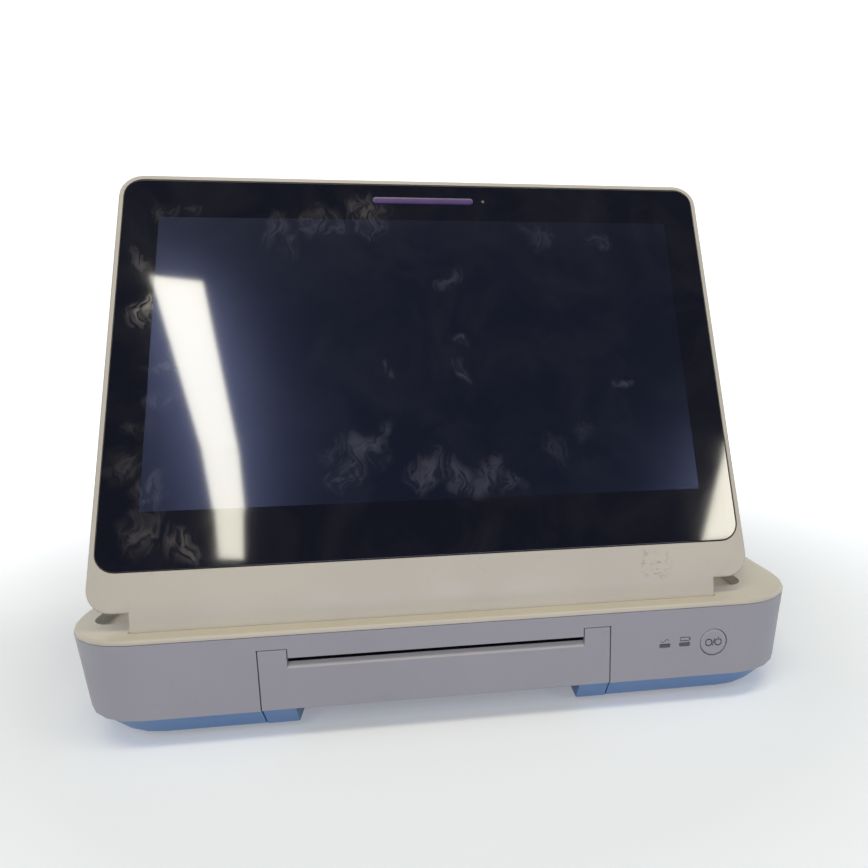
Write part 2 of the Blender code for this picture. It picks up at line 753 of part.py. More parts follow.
def make_power_button():
    pivot = empty("power_button_axis", (button_x, front, button_z))
    profile = [(0, 0), (button_radius - button_edge, 0), (button_radius, -button_edge),
               (button_radius, -button_length), (0, -button_length)]
    button = turned("power_button", profile, (0, 0, 0), (math.pi / 2, 0, 0), parent=pivot)
    dress(button, GREY_WHITE)
    switch_y = front + button_length + button_travel + switch_gap
    board_y = front + light_pipe_length + gap
    board = block("control_board",
                  (mains_light_x - control_board_edge, board_y, button_z - control_board_margin),
                  (button_x + control_board_margin, board_y + control_board_depth,
                   button_z + control_board_margin))
    dress(board, BOARD, smooth=False)
    switch = block("power_switch", (button_x - switch_size / 2, switch_y, button_z - switch_size / 2),
                   (button_x + switch_size / 2, board_y - gap, button_z + switch_size / 2))
    dress(switch, BLACK, smooth=False)


def make_bezel(frame):
    """Front half of the display's case, with the hinge barrel along its lower edge."""
    inner = display_half - wall
    bezel = block("display_bezel", (-display_half, display_foot, parting),
                  (display_half, display_top, display_front), display_corner, top_edge=rim_edge,
                  parent=frame)
    hollow = block("bezel_hollow", (-inner, display_foot + wall, parting - overrun),
                   (inner, display_top - wall, glass_ledge), display_corner - wall, cutter=True,
                   parent=frame)
    pocket = block("glass_pocket", (-glass_width / 2, glass_bottom, glass_seat),
                   (glass_width / 2, glass_top, display_front + overrun), glass_corner, cutter=True,
                   parent=frame)
    window = block("screen_window", (-screen_width / 2, screen_bottom, parting - overrun),
                   (screen_width / 2, screen_bottom + screen_height, display_front), cutter=True,
                   parent=frame)
    barrel = rod("barrel_form", barrel_radius, (-barrel_half, 0, 0), (barrel_half, 0, 0),
                 sides=fine_sides, cutter=True, parent=frame)
    web = block("barrel_web", (-barrel_half, 0, parting),
                (barrel_half, display_foot + wall, display_front), cutter=True, parent=frame)
    join(bezel, barrel, web)
    cut(bezel, hollow, pocket, window)
    for name, sign in (("left", -1), ("right", 1)):
        x0, x1 = span(sign, arm_near - arm_clearance, arm_far + arm_clearance)
        bore = rod("shaft_bore_" + name, shaft_radius + gap,
                   (sign * (barrel_half - shaft_grip - gap), 0, 0),
                   (sign * (barrel_half + overrun), 0, 0), cutter=True, parent=frame)
        eye_space = rod("eye_space_" + name, eye_radius + arm_clearance, (x0, 0, 0), (x1, 0, 0),
                        cutter=True, parent=frame)
        arm_slot = block("arm_slot_" + name, (x0, -barrel_radius - overrun, -barrel_radius - overrun),
                         (x1, arm_space, arm_space), cutter=True, parent=frame)
        cut(bezel, bore, eye_space, arm_slot)
    cut(bezel, alarm_form("alarm_slot_frame", glass_ledge - overrun, display_front, gap, cutter=True,
                          parent=frame))
    dress(bezel, CREAM)


def make_display_back(frame):
    """Rear half of the display's case, with four posts for its board."""
    inner = display_half - wall
    rear = block("display_back", (-display_half, display_foot, display_rear),
                 (display_half, display_top, parting - gap), display_corner, bottom_edge=raised_edge,
                 parent=frame)
    hollow = block("back_hollow", (-inner, display_foot + wall, display_rear + wall),
                   (inner, display_top - wall, parting + overrun), display_corner - wall, cutter=True,
                   parent=frame)
    clearance = rod("barrel_clearance", barrel_radius + gap, (-trough_half, 0, 0),
                    (trough_half, 0, 0), sides=fine_sides, cutter=True, parent=frame)
    cut(rear, hollow, clearance)
    post_x = display_board_width / 2 - post_inset
    post_rise = display_board_height / 2 - post_inset
    for x in (-post_x, post_x):
        for y in (display_board_y - post_rise, display_board_y + post_rise):
            join(rear, rod("display_post", board_post_radius, (x, y, display_rear + lap),
                           (x, y, board_seat), sides=post_sides, cutter=True, parent=frame))
    dress(rear, CREAM)


def make_glass_and_panel(frame):
    half = glass_width / 2 - gap
    glass = block("touch_glass", (-half, glass_bottom + gap, glass_seat + gap),
                  (half, glass_top - gap, display_front), glass_corner - gap, parent=frame)
    cut(glass, alarm_form("alarm_slot_glass", glass_seat, display_front + overrun, gap, cutter=True,
                          parent=frame))
    dress(glass, BLACK_GLASS)
    dress(alarm_form("alarm_light", glass_ledge, display_front, 0, parent=frame), PURPLE)
    panel_half = screen_width / 2 + panel_border
    panel_top = glass_ledge - gap
    panel = block("lcd_panel", (-panel_half, screen_bottom - panel_border, panel_top - panel_thickness),
                  (panel_half, screen_bottom + screen_height + panel_border, panel_top), parent=frame)
    dress(panel, SCREEN, smooth=False)


def make_display():
    """The display, modelled flat about the hinge axis: x across, y up the screen, z out of it."""
    frame = empty("display_axis", (0, hinge_y, hinge_z), (fold_angle, 0, 0))
    make_bezel(frame)
    make_display_back(frame)
    make_glass_and_panel(frame)
    half_x, half_y = display_board_width / 2, display_board_height / 2
    board = block("display_board", (-half_x, display_board_y - half_y, board_seat + gap),
                  (half_x, display_board_y + half_y, board_seat + gap + board_thickness), parent=frame)
    dress(board, BOARD, smooth=False)
    for name, sign in (("left", -1), ("right", 1)):
        shaft = rod("hinge_shaft_" + name, shaft_radius, (sign * (barrel_half - shaft_grip), 0, 0),
                    (sign * (barrel_half - shaft_inset), 0, 0), parent=frame)
        dress(shaft, STEEL)


def alarm_form(name, low, high, grow=0, **place):
    """The alarm light's outline, a bar with almost half-round ends."""
    half, rise = alarm_length / 2 + grow, alarm_height / 2 + grow
    return block(name, (-half, alarm_centre - rise, low), (half, alarm_centre + rise, high),
                 corner=rise * round_share, steps=edge_steps + 1, **place)


def make_hinge_side(name, sign):
    """Fixed half of a friction hinge: a foot under the top cover, and an arm that goes up through
    the floor of the trough and the slot in the barrel's underside, with an eye round the shaft."""
    x0, x1 = span(sign, arm_near, arm_far)
    foot_top = pan_under - gap
    bracket = block("hinge_bracket_" + name,
                    (x0 - bracket_foot, hinge_y - bracket_foot, foot_top - bracket_plate),
                    (x1 + bracket_foot, hinge_y + bracket_foot, foot_top))
    arm = block("arm_" + name, (x0, hinge_y - arm_thickness / 2, foot_top - bracket_plate / 2),
                (x1, hinge_y + arm_thickness / 2, hinge_z), cutter=True)
    eye = rod("eye_" + name, eye_radius, (x0, hinge_y, hinge_z), (x1, hinge_y, hinge_z), cutter=True)
    bore = rod("eye_bore_" + name, shaft_radius + gap, (x0 - overrun, hinge_y, hinge_z),
               (x1 + overrun, hinge_y, hinge_z), cutter=True)
    join(bracket, arm, eye)
    cut(bracket, bore)
    dress(bracket, STEEL)


def involute(angle):
    return math.tan(angle) - angle


def gear_points(teeth, first_angle):
    """Outline of an involute gear: each flank goes from the root, by the base circle, to the tip."""
    pitch = gear_module * teeth / 2
    base = pitch * math.cos(pressure_angle)
    tip = pitch + addendum_share * gear_module
    root = pitch - dedendum_share * gear_module
    half_tooth = math.pi / (2 * teeth) - backlash / (2 * pitch)
    flank = [(root, half_tooth + involute(pressure_angle))]
    for step in range(flank_steps):
        radius = max(base, root) + (tip - max(base, root)) * step / (flank_steps - 1)
        angle = math.acos(min(1, base / radius))
        flank.append((radius, half_tooth + involute(pressure_angle) - involute(angle)))
    points = []
    for tooth in range(teeth):
        centre = first_angle + tooth * 2 * math.pi / teeth
        points += [(radius, centre - turn) for radius, turn in flank]
        points += [(radius, centre + turn) for radius, turn in reversed(flank)]
    return [(radius * math.cos(angle), radius * math.sin(angle)) for radius, angle in points]


def gear(name, teeth, first_angle, bore, parent=None, location=None):
    """A spur gear in the plane across x, from its outline extruded by its width."""
    bm = bmesh.new()
    face = bm.faces.new([bm.verts.new((gear_x, y, z)) for y, z in gear_points(teeth, first_angle)])
    grown = bmesh.ops.extrude_face_region(bm, geom=[face])
    new_verts = [item for item in grown["geom"] if isinstance(item, bmesh.types.BMVert)]
    bmesh.ops.translate(bm, verts=new_verts, vec=(gear_width, 0, 0))
    made = object_from(bm, name, parent=parent, location=location)
    if bore:
        cut(made, rod(name + "_bore", bore, (gear_x - overrun, 0, 0),
                      (gear_x + gear_width + overrun, 0, 0), cutter=True, parent=parent,
                      location=location))
    return dress(made, NYLON, smooth=False)


def make_drawer_front(drawer):
    """Front with two ears and a chamfered lip under the paper slot, over a blue skirt."""
    panel = block("drawer_front", (-drawer_half, 0, housing_bottom),
                  (drawer_half, drawer_front_depth, ear_top), parent=drawer)
    lip_rise = slot_top - slot_height - lip_bottom

    def chamfer(point):
        rise = lip_rise if point.y > 0 and point.z < lip_bottom + match else 0
        return Vector((point.x, point.y, point.z + rise))

    def slope(point):
        step = tray_slope_at(point.z) if point.y < recess_depth / 2 else 0
        return Vector((point.x, point.y + step, point.z))

    lip_cut = block("lip_chamfer", (-slot_half, -overrun, lip_bottom),
                    (slot_half, drawer_front_depth, slot_top), shape=chamfer, cutter=True, parent=drawer)
    slot = block("lip_space", (-slot_half, -overrun, slot_top - slot_height),
                 (slot_half, drawer_front_depth + overrun, ear_top + overrun), cutter=True,
                 parent=drawer)
    cut(panel, lip_cut, slot)
    dress(panel, GREY_WHITE)
    skirt = block("drawer_skirt", (-drawer_half, 0, tray_bottom + gap),
                  (drawer_half, skirt_rear, housing_bottom - gap), shape=slope, parent=drawer)
    cut(skirt, block("finger_recess", (-finger_half, -overrun, tray_bottom - overrun),
                     (finger_half, recess_depth, housing_bottom + overrun), cutter=True, parent=drawer))
    dress(skirt, BLUE)


def make_drawer_tray(drawer):
    """Tray for the folded paper, with the platen's bearings in front and a runner on each side."""
    platen_floor = housing_bottom + gap
    platen_rear = setback(platen_y) + bearing_reach
    tray_front = skirt_rear + gap
    tray_end = setback(drawer_end)
    tray = block("drawer_tray", (-tray_outer, tray_front, drawer_floor_z),
                 (tray_outer, tray_end, low_wall_top), parent=drawer)
    join(tray, block("platen_housing", (-tray_outer, setback(drawer_back), platen_floor),
                     (tray_outer, platen_rear, high_wall_top), cutter=True, parent=drawer))
    join(tray, block("platen_link", (-tray_outer, setback(platen_y), platen_floor),
                     (tray_outer, tray_front + tray_wall, low_wall_top), cutter=True, parent=drawer))
    for name, sign in (("left", -1), ("right", 1)):
        x0, x1 = span(sign, tray_inner + tray_wall / 2, bay_inner - gap)
        join(tray, block("runner_" + name, (x0, setback(bay_front) + gap, runner_z),
                         (x1, tray_end - tray_wall, runner_z + runner_height), cutter=True,
                         parent=drawer))
    above = high_wall_top + overrun
    paper_space = block("paper_space", (-tray_inner, tray_front + tray_wall, drawer_floor_z + tray_wall),
                        (tray_inner, tray_end - tray_wall, above), cutter=True, parent=drawer)
    platen_space = block("platen_space",
                         (-tray_inner, setback(drawer_back) + tray_wall, platen_floor + tray_wall),
                         (tray_inner, tray_front + 2 * tray_wall, above), cutter=True, parent=drawer)
    slot_space = block("slot_space", (-tray_inner, -overrun, lip_bottom - gap),
                       (tray_inner, setback(drawer_back) + tray_wall + overrun, above), cutter=True,
                       parent=drawer)
    bearing = rod("bearing_bore", platen_shaft_radius + gap,
                  (-tray_outer - overrun, setback(platen_y), platen_z),
                  (tray_outer + overrun, setback(platen_y), platen_z), cutter=True, parent=drawer)
    cut(tray, paper_space, platen_space, slot_space, bearing)
    dress(tray, BLACK, smooth=False)
    stack_z = drawer_floor_z + tray_wall + gap
    stack_end = tray_end - tray_wall - tray_clearance
    pack = block("paper_pack", (-paper_width / 2, stack_end - paper_length, stack_z),
                 (paper_width / 2, stack_end, stack_z + paper_stack), parent=drawer)
    dress(pack, PAPER, smooth=False)


def make_platen(drawer):
    platen = empty("platen_axis", (0, setback(platen_y), platen_z), parent=drawer)
    shaft = rod("platen_shaft", platen_shaft_radius, (-tray_outer - gear_offset, 0, 0),
                (gear_x + gear_width, 0, 0), parent=platen)
    dress(shaft, STEEL)
    roller_half = tray_inner - gear_offset
    rubber = rod("platen_rubber", platen_radius, (-roller_half, 0, 0), (roller_half, 0, 0),
                 parent=platen)
    cut(rubber, rod("platen_bore", platen_shaft_radius + gap, (-tray_inner, 0, 0), (tray_inner, 0, 0),
                    cutter=True, parent=platen))
    dress(rubber, RUBBER)
    gear("platen_gear", platen_teeth, math.pi / platen_teeth, platen_shaft_radius + gap, parent=platen)


def make_drawer():
    """The paper drawer, with its y from the front face of the base."""
    drawer = empty("drawer_axis", (0, front, 0))
    make_drawer_front(drawer)
    make_drawer_tray(drawer)
    make_platen(drawer)


def setback(y):
    """Distance of a place behind the front face."""
    return y - front


def tray_slope_at(z):
    """How far the tray's front has sloped in at a height."""
    return tray_step + tray_slope * (housing_bottom - z) / (housing_bottom - tray_bottom)


def make_paper_bay():
    """Frame that the drawer slides in, with two ledges over and under each runner."""
    bay = block("paper_bay", (-bay_outer, bay_front, floor_top + gap), (bay_outer, bay_end, bay_top))
    cut(bay, block("bay_inside", (-bay_inner, bay_front - overrun, floor_top - overrun),
                   (bay_inner, bay_end - bay_wall, bay_top + overrun), cutter=True))
    ledge_levels = (("lower", runner_z - gap - ledge_height), ("upper", runner_z + runner_height + gap))
    for name, sign in (("left", -1), ("right", 1)):
        x0, x1 = span(sign, bay_inner - ledge_depth, bay_inner + lap)
        for level, z in ledge_levels:
            join(bay, block("ledge_" + level + "_" + name, (x0, bay_front + lap, z),
                            (x1, bay_end - bay_wall - lap, z + ledge_height), cutter=True))
    near, far = bay_inner - overrun, bay_outer + overrun
    cut(bay, rod("idler_hole", idler_pin_radius + gap, (near, idler_y, platen_z),
                 (far, idler_y, platen_z), cutter=True))
    cut(bay, rod("motor_hole", 2 * motor_shaft_radius, (near, pinion_y, platen_z),
                 (far, pinion_y, platen_z), cutter=True))
    cut(bay, block("bay_foot_notch", (-bay_outer - overrun, front - overrun, tray_bottom),
                   (bay_outer + overrun, front + skirt_rear + 2 * drawer_clearance,
                    housing_bottom + gap), cutter=True))
    dress(bay, BLACK, smooth=False)


def make_print_head():
    head_y = platen_y + platen_radius + gap
    head = block("print_head", (-paper_width / 2, head_y, head_z),
                 (paper_width / 2, head_y + head_thickness, head_z + head_height))
    dress(head, CERAMIC, smooth=False)
    web_y = head_y + head_thickness + gap
    flange_z = bay_top + gap
    bracket = block("print_head_bracket", (-tray_outer, web_y, head_z),
                    (tray_outer, web_y + bracket_sheet, flange_z + bracket_sheet / 2))
    join(bracket, block("bracket_flange", (-bay_outer, web_y, flange_z),
                        (bay_outer, web_y + bracket_flange, flange_z + bracket_sheet), cutter=True))
    dress(bracket, STEEL, smooth=False)


def make_printer_drive():
    """Motor, pinion and idler in the base, which meet the platen's gear when the drawer is shut."""
    pin = rod("idler_pin", idler_pin_radius, (gear_x - gear_offset / 2, idler_y, platen_z),
              (bay_outer, idler_y, platen_z))
    dress(pin, STEEL)
    motor_x = bay_outer + gap
    motor = rod("printer_motor", motor_radius, (motor_x, pinion_y, platen_z),
                (motor_x + motor_length, pinion_y, platen_z))
    cut(motor, rod("motor_bore", motor_shaft_radius + gap, (motor_x - overrun, pinion_y, platen_z),
                   (motor_x + motor_length / 2, pinion_y, platen_z), cutter=True))
    dress(motor, STEEL)
    gear("idler_gear", idler_teeth, 0, idler_pin_radius + gap, location=(0, idler_y, platen_z))
    place = (0, pinion_y, platen_z)
    pinion = gear("motor_pinion", pinion_teeth, math.pi / pinion_teeth, 0, location=place)
    join(pinion, rod("motor_shaft", motor_shaft_radius, (gear_x + gear_width / 2, 0, 0),
                     (motor_x + motor_length / 2 - gap, 0, 0), cutter=True, location=place))


def centre_on_base():
    """Moves the layout, whose x starts at the middle of the display, to the middle of the base."""
    for item in [*PARTS.objects, *CUTTERS.objects]:
        if item.parent is None:
            item.location.x -= base_middle


make_top_cover()
make_housing()
make_rear_plate()
make_lights()
make_bottom_tray()
make_feet()
make_battery()
make_inner_units()
make_sockets()
make_rear_connectors()
make_power_button()
make_display()
mirrored(make_hinge_side)
make_drawer()
make_paper_bay()
make_print_head()
make_printer_drive()
centre_on_base()
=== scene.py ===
"""Tabletop monitor with a fold-up touch screen and a strip-chart printer: the finished pieces,
their materials and a plain studio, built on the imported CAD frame."""
import json
import math

import bmesh
import bpy
import numpy as np
from bpy.props import FloatProperty, FloatVectorProperty, IntProperty, PointerProperty
from bpy.types import Operator, Panel, PropertyGroup
from mathutils import Matrix, Vector


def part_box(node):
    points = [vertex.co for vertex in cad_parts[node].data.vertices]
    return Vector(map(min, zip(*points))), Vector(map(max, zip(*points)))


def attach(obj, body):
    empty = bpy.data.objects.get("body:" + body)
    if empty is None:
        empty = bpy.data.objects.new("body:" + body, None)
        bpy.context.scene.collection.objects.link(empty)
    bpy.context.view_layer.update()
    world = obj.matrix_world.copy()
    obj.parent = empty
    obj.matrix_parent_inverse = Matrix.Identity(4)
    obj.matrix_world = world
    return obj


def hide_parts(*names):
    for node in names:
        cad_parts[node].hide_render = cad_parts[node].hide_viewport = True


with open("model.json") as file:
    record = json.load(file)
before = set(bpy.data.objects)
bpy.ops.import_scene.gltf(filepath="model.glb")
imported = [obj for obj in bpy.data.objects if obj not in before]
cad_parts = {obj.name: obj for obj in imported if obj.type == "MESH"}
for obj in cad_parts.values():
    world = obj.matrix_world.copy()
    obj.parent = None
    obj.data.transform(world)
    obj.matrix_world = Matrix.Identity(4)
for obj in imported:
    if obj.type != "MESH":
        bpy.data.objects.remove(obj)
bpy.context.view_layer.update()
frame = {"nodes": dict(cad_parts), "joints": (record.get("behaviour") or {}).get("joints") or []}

bl_info = {
    "name": "Fold-up touch screen monitor",
    "version": (1, 0, 0),
    "blender": (4, 5, 0),
    "location": "3D View > Sidebar > Monitor",
    "description": "Builds the pieces, materials and studio of a tabletop monitor with a printer",
    "category": "Add Mesh",
}

MM = 0.001


def linear(hex_value):
    """Linear red, green and blue of an sRGB hex value."""
    parts = [int(hex_value[i:i + 2], 16) / 255 for i in (0, 2, 4)]
    return tuple(c / 12.92 if c <= 0.04045 else ((c + 0.055) / 1.055) ** 2.4 for c in parts)


def hinge_axis():
    """A point on the display's hinge axis, from the record's joint."""
    for joint in frame["joints"]:
        if joint["child"] == "display":
            return np.array(joint["pos_m"])
    raise RuntimeError("the record has no display joint")


# The display at its place in use: its hinge, its lean, the directions up the screen and out of
# it, and how far the touch glass's face lies in front of the hinge axis
HINGE = hinge_axis()
TILT = math.radians(21.8)
UP_SCREEN = np.array([0, math.sin(TILT), math.cos(TILT)])
OFF_SCREEN = np.array([0, -math.cos(TILT), math.sin(TILT)])
FACE = 7.0 * MM

# Points closer than this are one, in a made mesh and in a copy of a CAD node's
MERGE, COPY_MERGE = 0.004 * MM, 0.003 * MM
# Edges that turn by more than this stay sharp, in degrees; a copy's are rounded by a bevel
SHARP, COPY_SHARP = 35.0, 38.0
# Faces of a copy that turn by less than this are one flat face
FLAT = math.radians(0.6)
# Rows of faces along a rounded edge, and points round a rounded corner
BEVEL_STEPS, CORNER_STEPS = 3, 12


# Sizes and colours that a user would change

def size_prop(name, description, size_mm):
    return FloatProperty(name=name, description=description, default=size_mm * MM, min=0,
                         subtype="DISTANCE", unit="LENGTH", precision=5)


def colour_prop(name, description, hex_value):
    return FloatVectorProperty(name=name, description=description, default=linear(hex_value),
                               size=3, min=0, max=1, subtype="COLOR")


class MonitorSizes(PropertyGroup):
    edge_round: size_prop("Edge rounding", "Radius of the moulded edges", 0.45)
    glass_round: size_prop("Glass edge", "Radius of the touch glass's ground edge", 0.5)
    glass_corner: size_prop("Glass corner", "Radius of the touch glass's corners", 10.1)
    screen_width: size_prop("Screen width", "Width of the lit area", 293.8)
    screen_height: size_prop("Screen height", "Height of the lit area", 165.8)
    screen_bottom: size_prop("Screen bottom", "Lit area's lower edge above the hinge", 53.05)
    button_round: size_prop("Button rim", "Rounding of the power button's rim", 0.8)
    fold_count: IntProperty(name="Folds", description="Layers in the folded paper pack",
                            default=26, min=4)


class MonitorColours(PropertyGroup):
    cream: colour_prop("Cream ABS", "Top cover and display frame", "CBC4B5")
    grey: colour_prop("Grey white ABS", "Housing, drawer front and button", "B1AEB2")
    blue: colour_prop("Blue ABS", "Bottom tray and drawer skirt", "7CA3CF")
    black: colour_prop("Black ABS", "Drawer tray, bay and sockets", "1C1C1E")
    print_black: colour_prop("Printed glass", "Ink behind the touch glass", "090C1C")
    screen_navy: colour_prop("Unlit screen", "Polariser of the dark screen", "05091C")
    alarm: colour_prop("Alarm light", "Purple diffuser of the alarm bar", "45266E")
    paper: colour_prop("Chart paper", "Thermal chart paper", "F1E9E3")
    floor: colour_prop("Floor", "Studio sweep", "E4EAF4")


def sizes():
    return bpy.context.scene.monitor_sizes


# Materials

def fill(tree, node, inputs):
    """Sets or links each named input of a node. A colour gets its alpha here."""
    for name, value in inputs.items():
        socket = node.inputs[name]
        if isinstance(value, bpy.types.NodeSocket):
            tree.links.new(value, socket)
        else:
            socket.default_value = (*value, 1) if socket.type == "RGBA" else value


def add_node(tree, kind, inputs, **settings):
    """Adds a node with its settings and inputs, and gives its outputs."""
    made = tree.nodes.new(kind)
    for name, value in settings.items():
        setattr(made, name, value)
    fill(tree, made, inputs)
    return made.outputs


def start_material(name, colour, roughness, metallic=0.0, ior=1.5):
    """A Principled material with its constants, its node tree, its shader and the place on the
    object."""
    made = bpy.data.materials.new(name)
    made.use_nodes = True
    made.diffuse_color = (*colour, 1)
    tree = made.node_tree
    shader = tree.nodes["Principled BSDF"]
    fill(tree, shader, {"Base Color": colour, "Roughness": roughness, "Metallic": metallic,
                        "IOR": ior})
    return made, tree, shader, add_node(tree, "ShaderNodeTexCoord", {})["Object"]


def patches(tree, place, cell_mm, edges, levels=(0, 1), detail=2, roughness=0.5, distortion=0.0,
            fade="LINEAR"):
    """Irregular patches of about cell_mm: noise from the first edge to the second is mapped from
    one level to the other, and held there outside."""
    value = add_node(tree, "ShaderNodeTexNoise", {
        "Vector": place, "Scale": 1000 / cell_mm, "Detail": detail, "Roughness": roughness,
        "Distortion": distortion})["Fac"]
    return add_node(tree, "ShaderNodeMapRange", {
        "Value": value, "From Min": edges[0], "From Max": edges[1], "To Min": levels[0],
        "To Max": levels[1]}, interpolation_type=fade)["Result"]


def spot(tree, place, centre, core, rim, inside, outside, fade="LINEAR"):
    """A round spot: the distance from its centre is mapped from core..rim to inside..outside."""
    away = add_node(tree, "ShaderNodeVectorMath", {0: place, 1: tuple(centre)},
                    operation="DISTANCE")["Value"]
    return add_node(tree, "ShaderNodeMapRange", {
        "Value": away, "From Min": core, "From Max": rim, "To Min": inside, "To Max": outside},
        interpolation_type=fade)["Result"]


def paint(tree, shader, colour, *coats):
    """The base colour: coats of (mask, colour) lie on it in turn, each where its mask is strong."""
    # The sockets of a Mix node that mixes colours
    factor, under, over, result = 0, 6, 7, 2
    for mask, coat in coats:
        colour = add_node(tree, "ShaderNodeMix", {factor: mask, under: colour, over: coat},
                          data_type="RGBA")[result]
    fill(tree, shader, {"Base Color": colour})


def relief(tree, shader, place, cell_mm, strength, depth, detail=2, roughness=0.5):
    """An uneven surface: noise with cells of about cell_mm stands up to depth out of it."""
    height = add_node(tree, "ShaderNodeTexNoise", {
        "Vector": place, "Scale": 1000 / cell_mm, "Detail": detail, "Roughness": roughness})["Fac"]
    fill(tree, shader, {"Normal": add_node(tree, "ShaderNodeBump", {
        "Height": height, "Strength": strength, "Distance": depth})["Normal"]})


def shade(colour, factor):
    return tuple(min(1.0, c * factor) for c in colour)


def moulded_abs(name, colour, roughness, grain=0.06, dirt=0.5, scuff=None):
    """Injection-moulded ABS with a spark-eroded grain. It looks softly matt, with a broad
    highlight, slightly uneven in tone where hands have polished or soiled it, and with a few fine
    scratches. A scuff is a place where brown dirt clings to scratches."""
    made, tree, shader, place = start_material(name, colour, roughness)
    tone = patches(tree, place, 70, (0.35, 0.65), detail=3)
    grime = patches(tree, place, 9, (0.60, 0.78), (0, dirt), 5, 0.7, 0.4)
    stretched = add_node(tree, "ShaderNodeMapping", {
        "Vector": place, "Rotation": (0.3, 0.5, 0.7), "Scale": (1, 14, 1)})["Vector"]
    scratch = patches(tree, stretched, 16, (0.70, 0.74), (0, dirt * 0.5), 3, 0.6)
    coats = [(tone, shade(colour, 1.02)), (grime, shade(colour, 0.80)),
             (scratch, shade(colour, 0.86))]
    if scuff is not None:
        near = spot(tree, place, scuff, 4 * MM, 11 * MM, 1, 0)
        specks = patches(tree, place, 3.5, (0.54, 0.60), (0, 0.55), 4, 0.6, 1.0)
        worn = add_node(tree, "ShaderNodeMath", {0: near, 1: specks}, operation="MULTIPLY")[0]
        coats.append((worn, linear("8F7C6C")))
    paint(tree, shader, shade(colour, 0.965), *coats)
    polished = patches(tree, place, 22, (0.3, 0.7), (roughness - 0.05, roughness + 0.07), 3)
    fill(tree, shader, {"Roughness": polished})
    # The real grain is about 0.1 mm; 0.7 mm is the finest that shows in the render.
    relief(tree, shader, place, 0.7, grain, 0.2 * MM, roughness=0.6)
    return made


# Finger marks on the touch glass: across and up the display in mm, radius in mm, strength
FINGER_MARKS = (
    (-84, 214, 11, 0.7), (-58, 216, 13, 0.9), (-34, 219, 15, 1.0), (-74, 203, 9, 0.6),
    (-146, 222, 10, 0.5), (-128, 226, 9, 0.5), (66, 212, 14, 0.45), (102, 208, 9, 0.55),
    (13, 181, 12, 0.6), (15, 143, 6, 0.9), (16, 128, 6, 0.9), (-22, 124, 6, 0.6),
    (-151, 190, 9, 0.7), (-151, 160, 10, 0.8), (-143, 132, 9, 0.8), (-141, 112, 9, 1.0),
    (-150, 96, 8, 0.6), (-157, 78, 12, 0.6), (-141, 62, 13, 0.9), (-146, 42, 14, 0.8),
    (-126, 36, 12, 0.7), (-52, 82, 11, 1.0), (-36, 80, 11, 1.0), (-27, 92, 8, 1.0),
    (-44, 68, 12, 0.8), (-7, 70, 12, 1.0), (12, 66, 11, 0.9), (26, 64, 12, 0.9),
    (40, 60, 10, 0.7), (66, 78, 11, 0.4), (86, 90, 12, 0.35), (108, 116, 6, 0.8),
)


def finger_cloud(tree, place):
    """How thick the skin grease lies: a wavy-edged mark round each place, smeared in strokes."""
    wobble_mm, bend = 22.0, 0.03
    wobble = add_node(tree, "ShaderNodeTexNoise", {
        "Vector": place, "Scale": 1000 / wobble_mm, "Detail": 2.0})["Color"]
    shift = add_node(tree, "ShaderNodeVectorMath", {0: wobble, 1: (0.5, 0.5, 0.5)},
                     operation="SUBTRACT")[0]
    bent = add_node(tree, "ShaderNodeVectorMath", {0: shift, 1: (bend, bend, bend), 2: place},
                    operation="MULTIPLY_ADD")[0]
    cloud = 0.0
    for across, up, radius, strength in FINGER_MARKS:
        centre = on_display([[across * MM, up * MM, FACE]])[0]
        mark = spot(tree, bent, centre, 0.2 * radius * MM, 1.15 * radius * MM, strength, 0,
                    "SMOOTHSTEP")
        cloud = add_node(tree, "ShaderNodeMath", {0: mark, 1: cloud}, operation="MAXIMUM")[0]
    drawn = add_node(tree, "ShaderNodeMapping", {
        "Vector": bent, "Rotation": (0, 0.35, 0), "Scale": (1.5, 0.8, 0.55)})["Vector"]
    strokes = patches(tree, drawn, 7.0, (0.36, 0.62), (0.2, 1), 2, 0.5, 1.2, "SMOOTHSTEP")
    return add_node(tree, "ShaderNodeMath", {0: cloud, 1: strokes}, operation="MULTIPLY")[0]


def touched_glass(name, colour, smear, scatter=None):
    """Chemically strengthened glass over a dark layer. It mirrors lamps sharply. Finger marks
    scatter the light, so they show as greyish clouds. Over the screen the polariser below scatters
    too, which puts a bluish glow round each mirrored lamp."""
    clean, greasy, glass_ior = 0.045, 0.16, 1.52
    made, tree, shader, place = start_material(name, colour, clean, ior=glass_ior)
    marks = finger_cloud(tree, place)
    haze = patches(tree, place, 45, (0.42, 0.74), (0, 0.16), 4, 0.62, 0.8)
    cloud = add_node(tree, "ShaderNodeMath", {0: marks, 1: haze}, operation="MAXIMUM")[0]
    paint(tree, shader, colour, (cloud, smear))
    if scatter:
        fill(tree, shader, {"Roughness": 0.21, "Specular IOR Level": 0.42, "Coat Weight": 1.0,
                            "Specular Tint": scatter, "Coat Roughness": clean,
                            "Coat IOR": glass_ior})
    else:
        fill(tree, shader, {"Roughness": add_node(tree, "ShaderNodeMapRange", {
            "Value": cloud, "To Min": clean, "To Max": greasy})["Result"]})
    return made


def tinted_lens(name, colour, roughness):
    """Tinted polycarbonate light guide: a slightly glossy colour, a little deeper in places."""
    made, tree, shader, place = start_material(name, colour, roughness, ior=1.585)
    tone = patches(tree, place, 6, (0.3, 0.7))
    paint(tree, shader, shade(colour, 0.85), (tone, shade(colour, 1.1)))
    return made


def moulded_rubber(name, colour):
    """Moulded nitrile rubber: dull black with pale dust in its pores."""
    made, tree, shader, place = start_material(name, colour, 0.82)
    dust = patches(tree, place, 4, (0.5, 0.75), (0, 0.35), 5, 0.7)
    paint(tree, shader, colour, (dust, linear("6E6A66")))
    relief(tree, shader, place, 0.9, 0.2, 0.2 * MM)
    return made


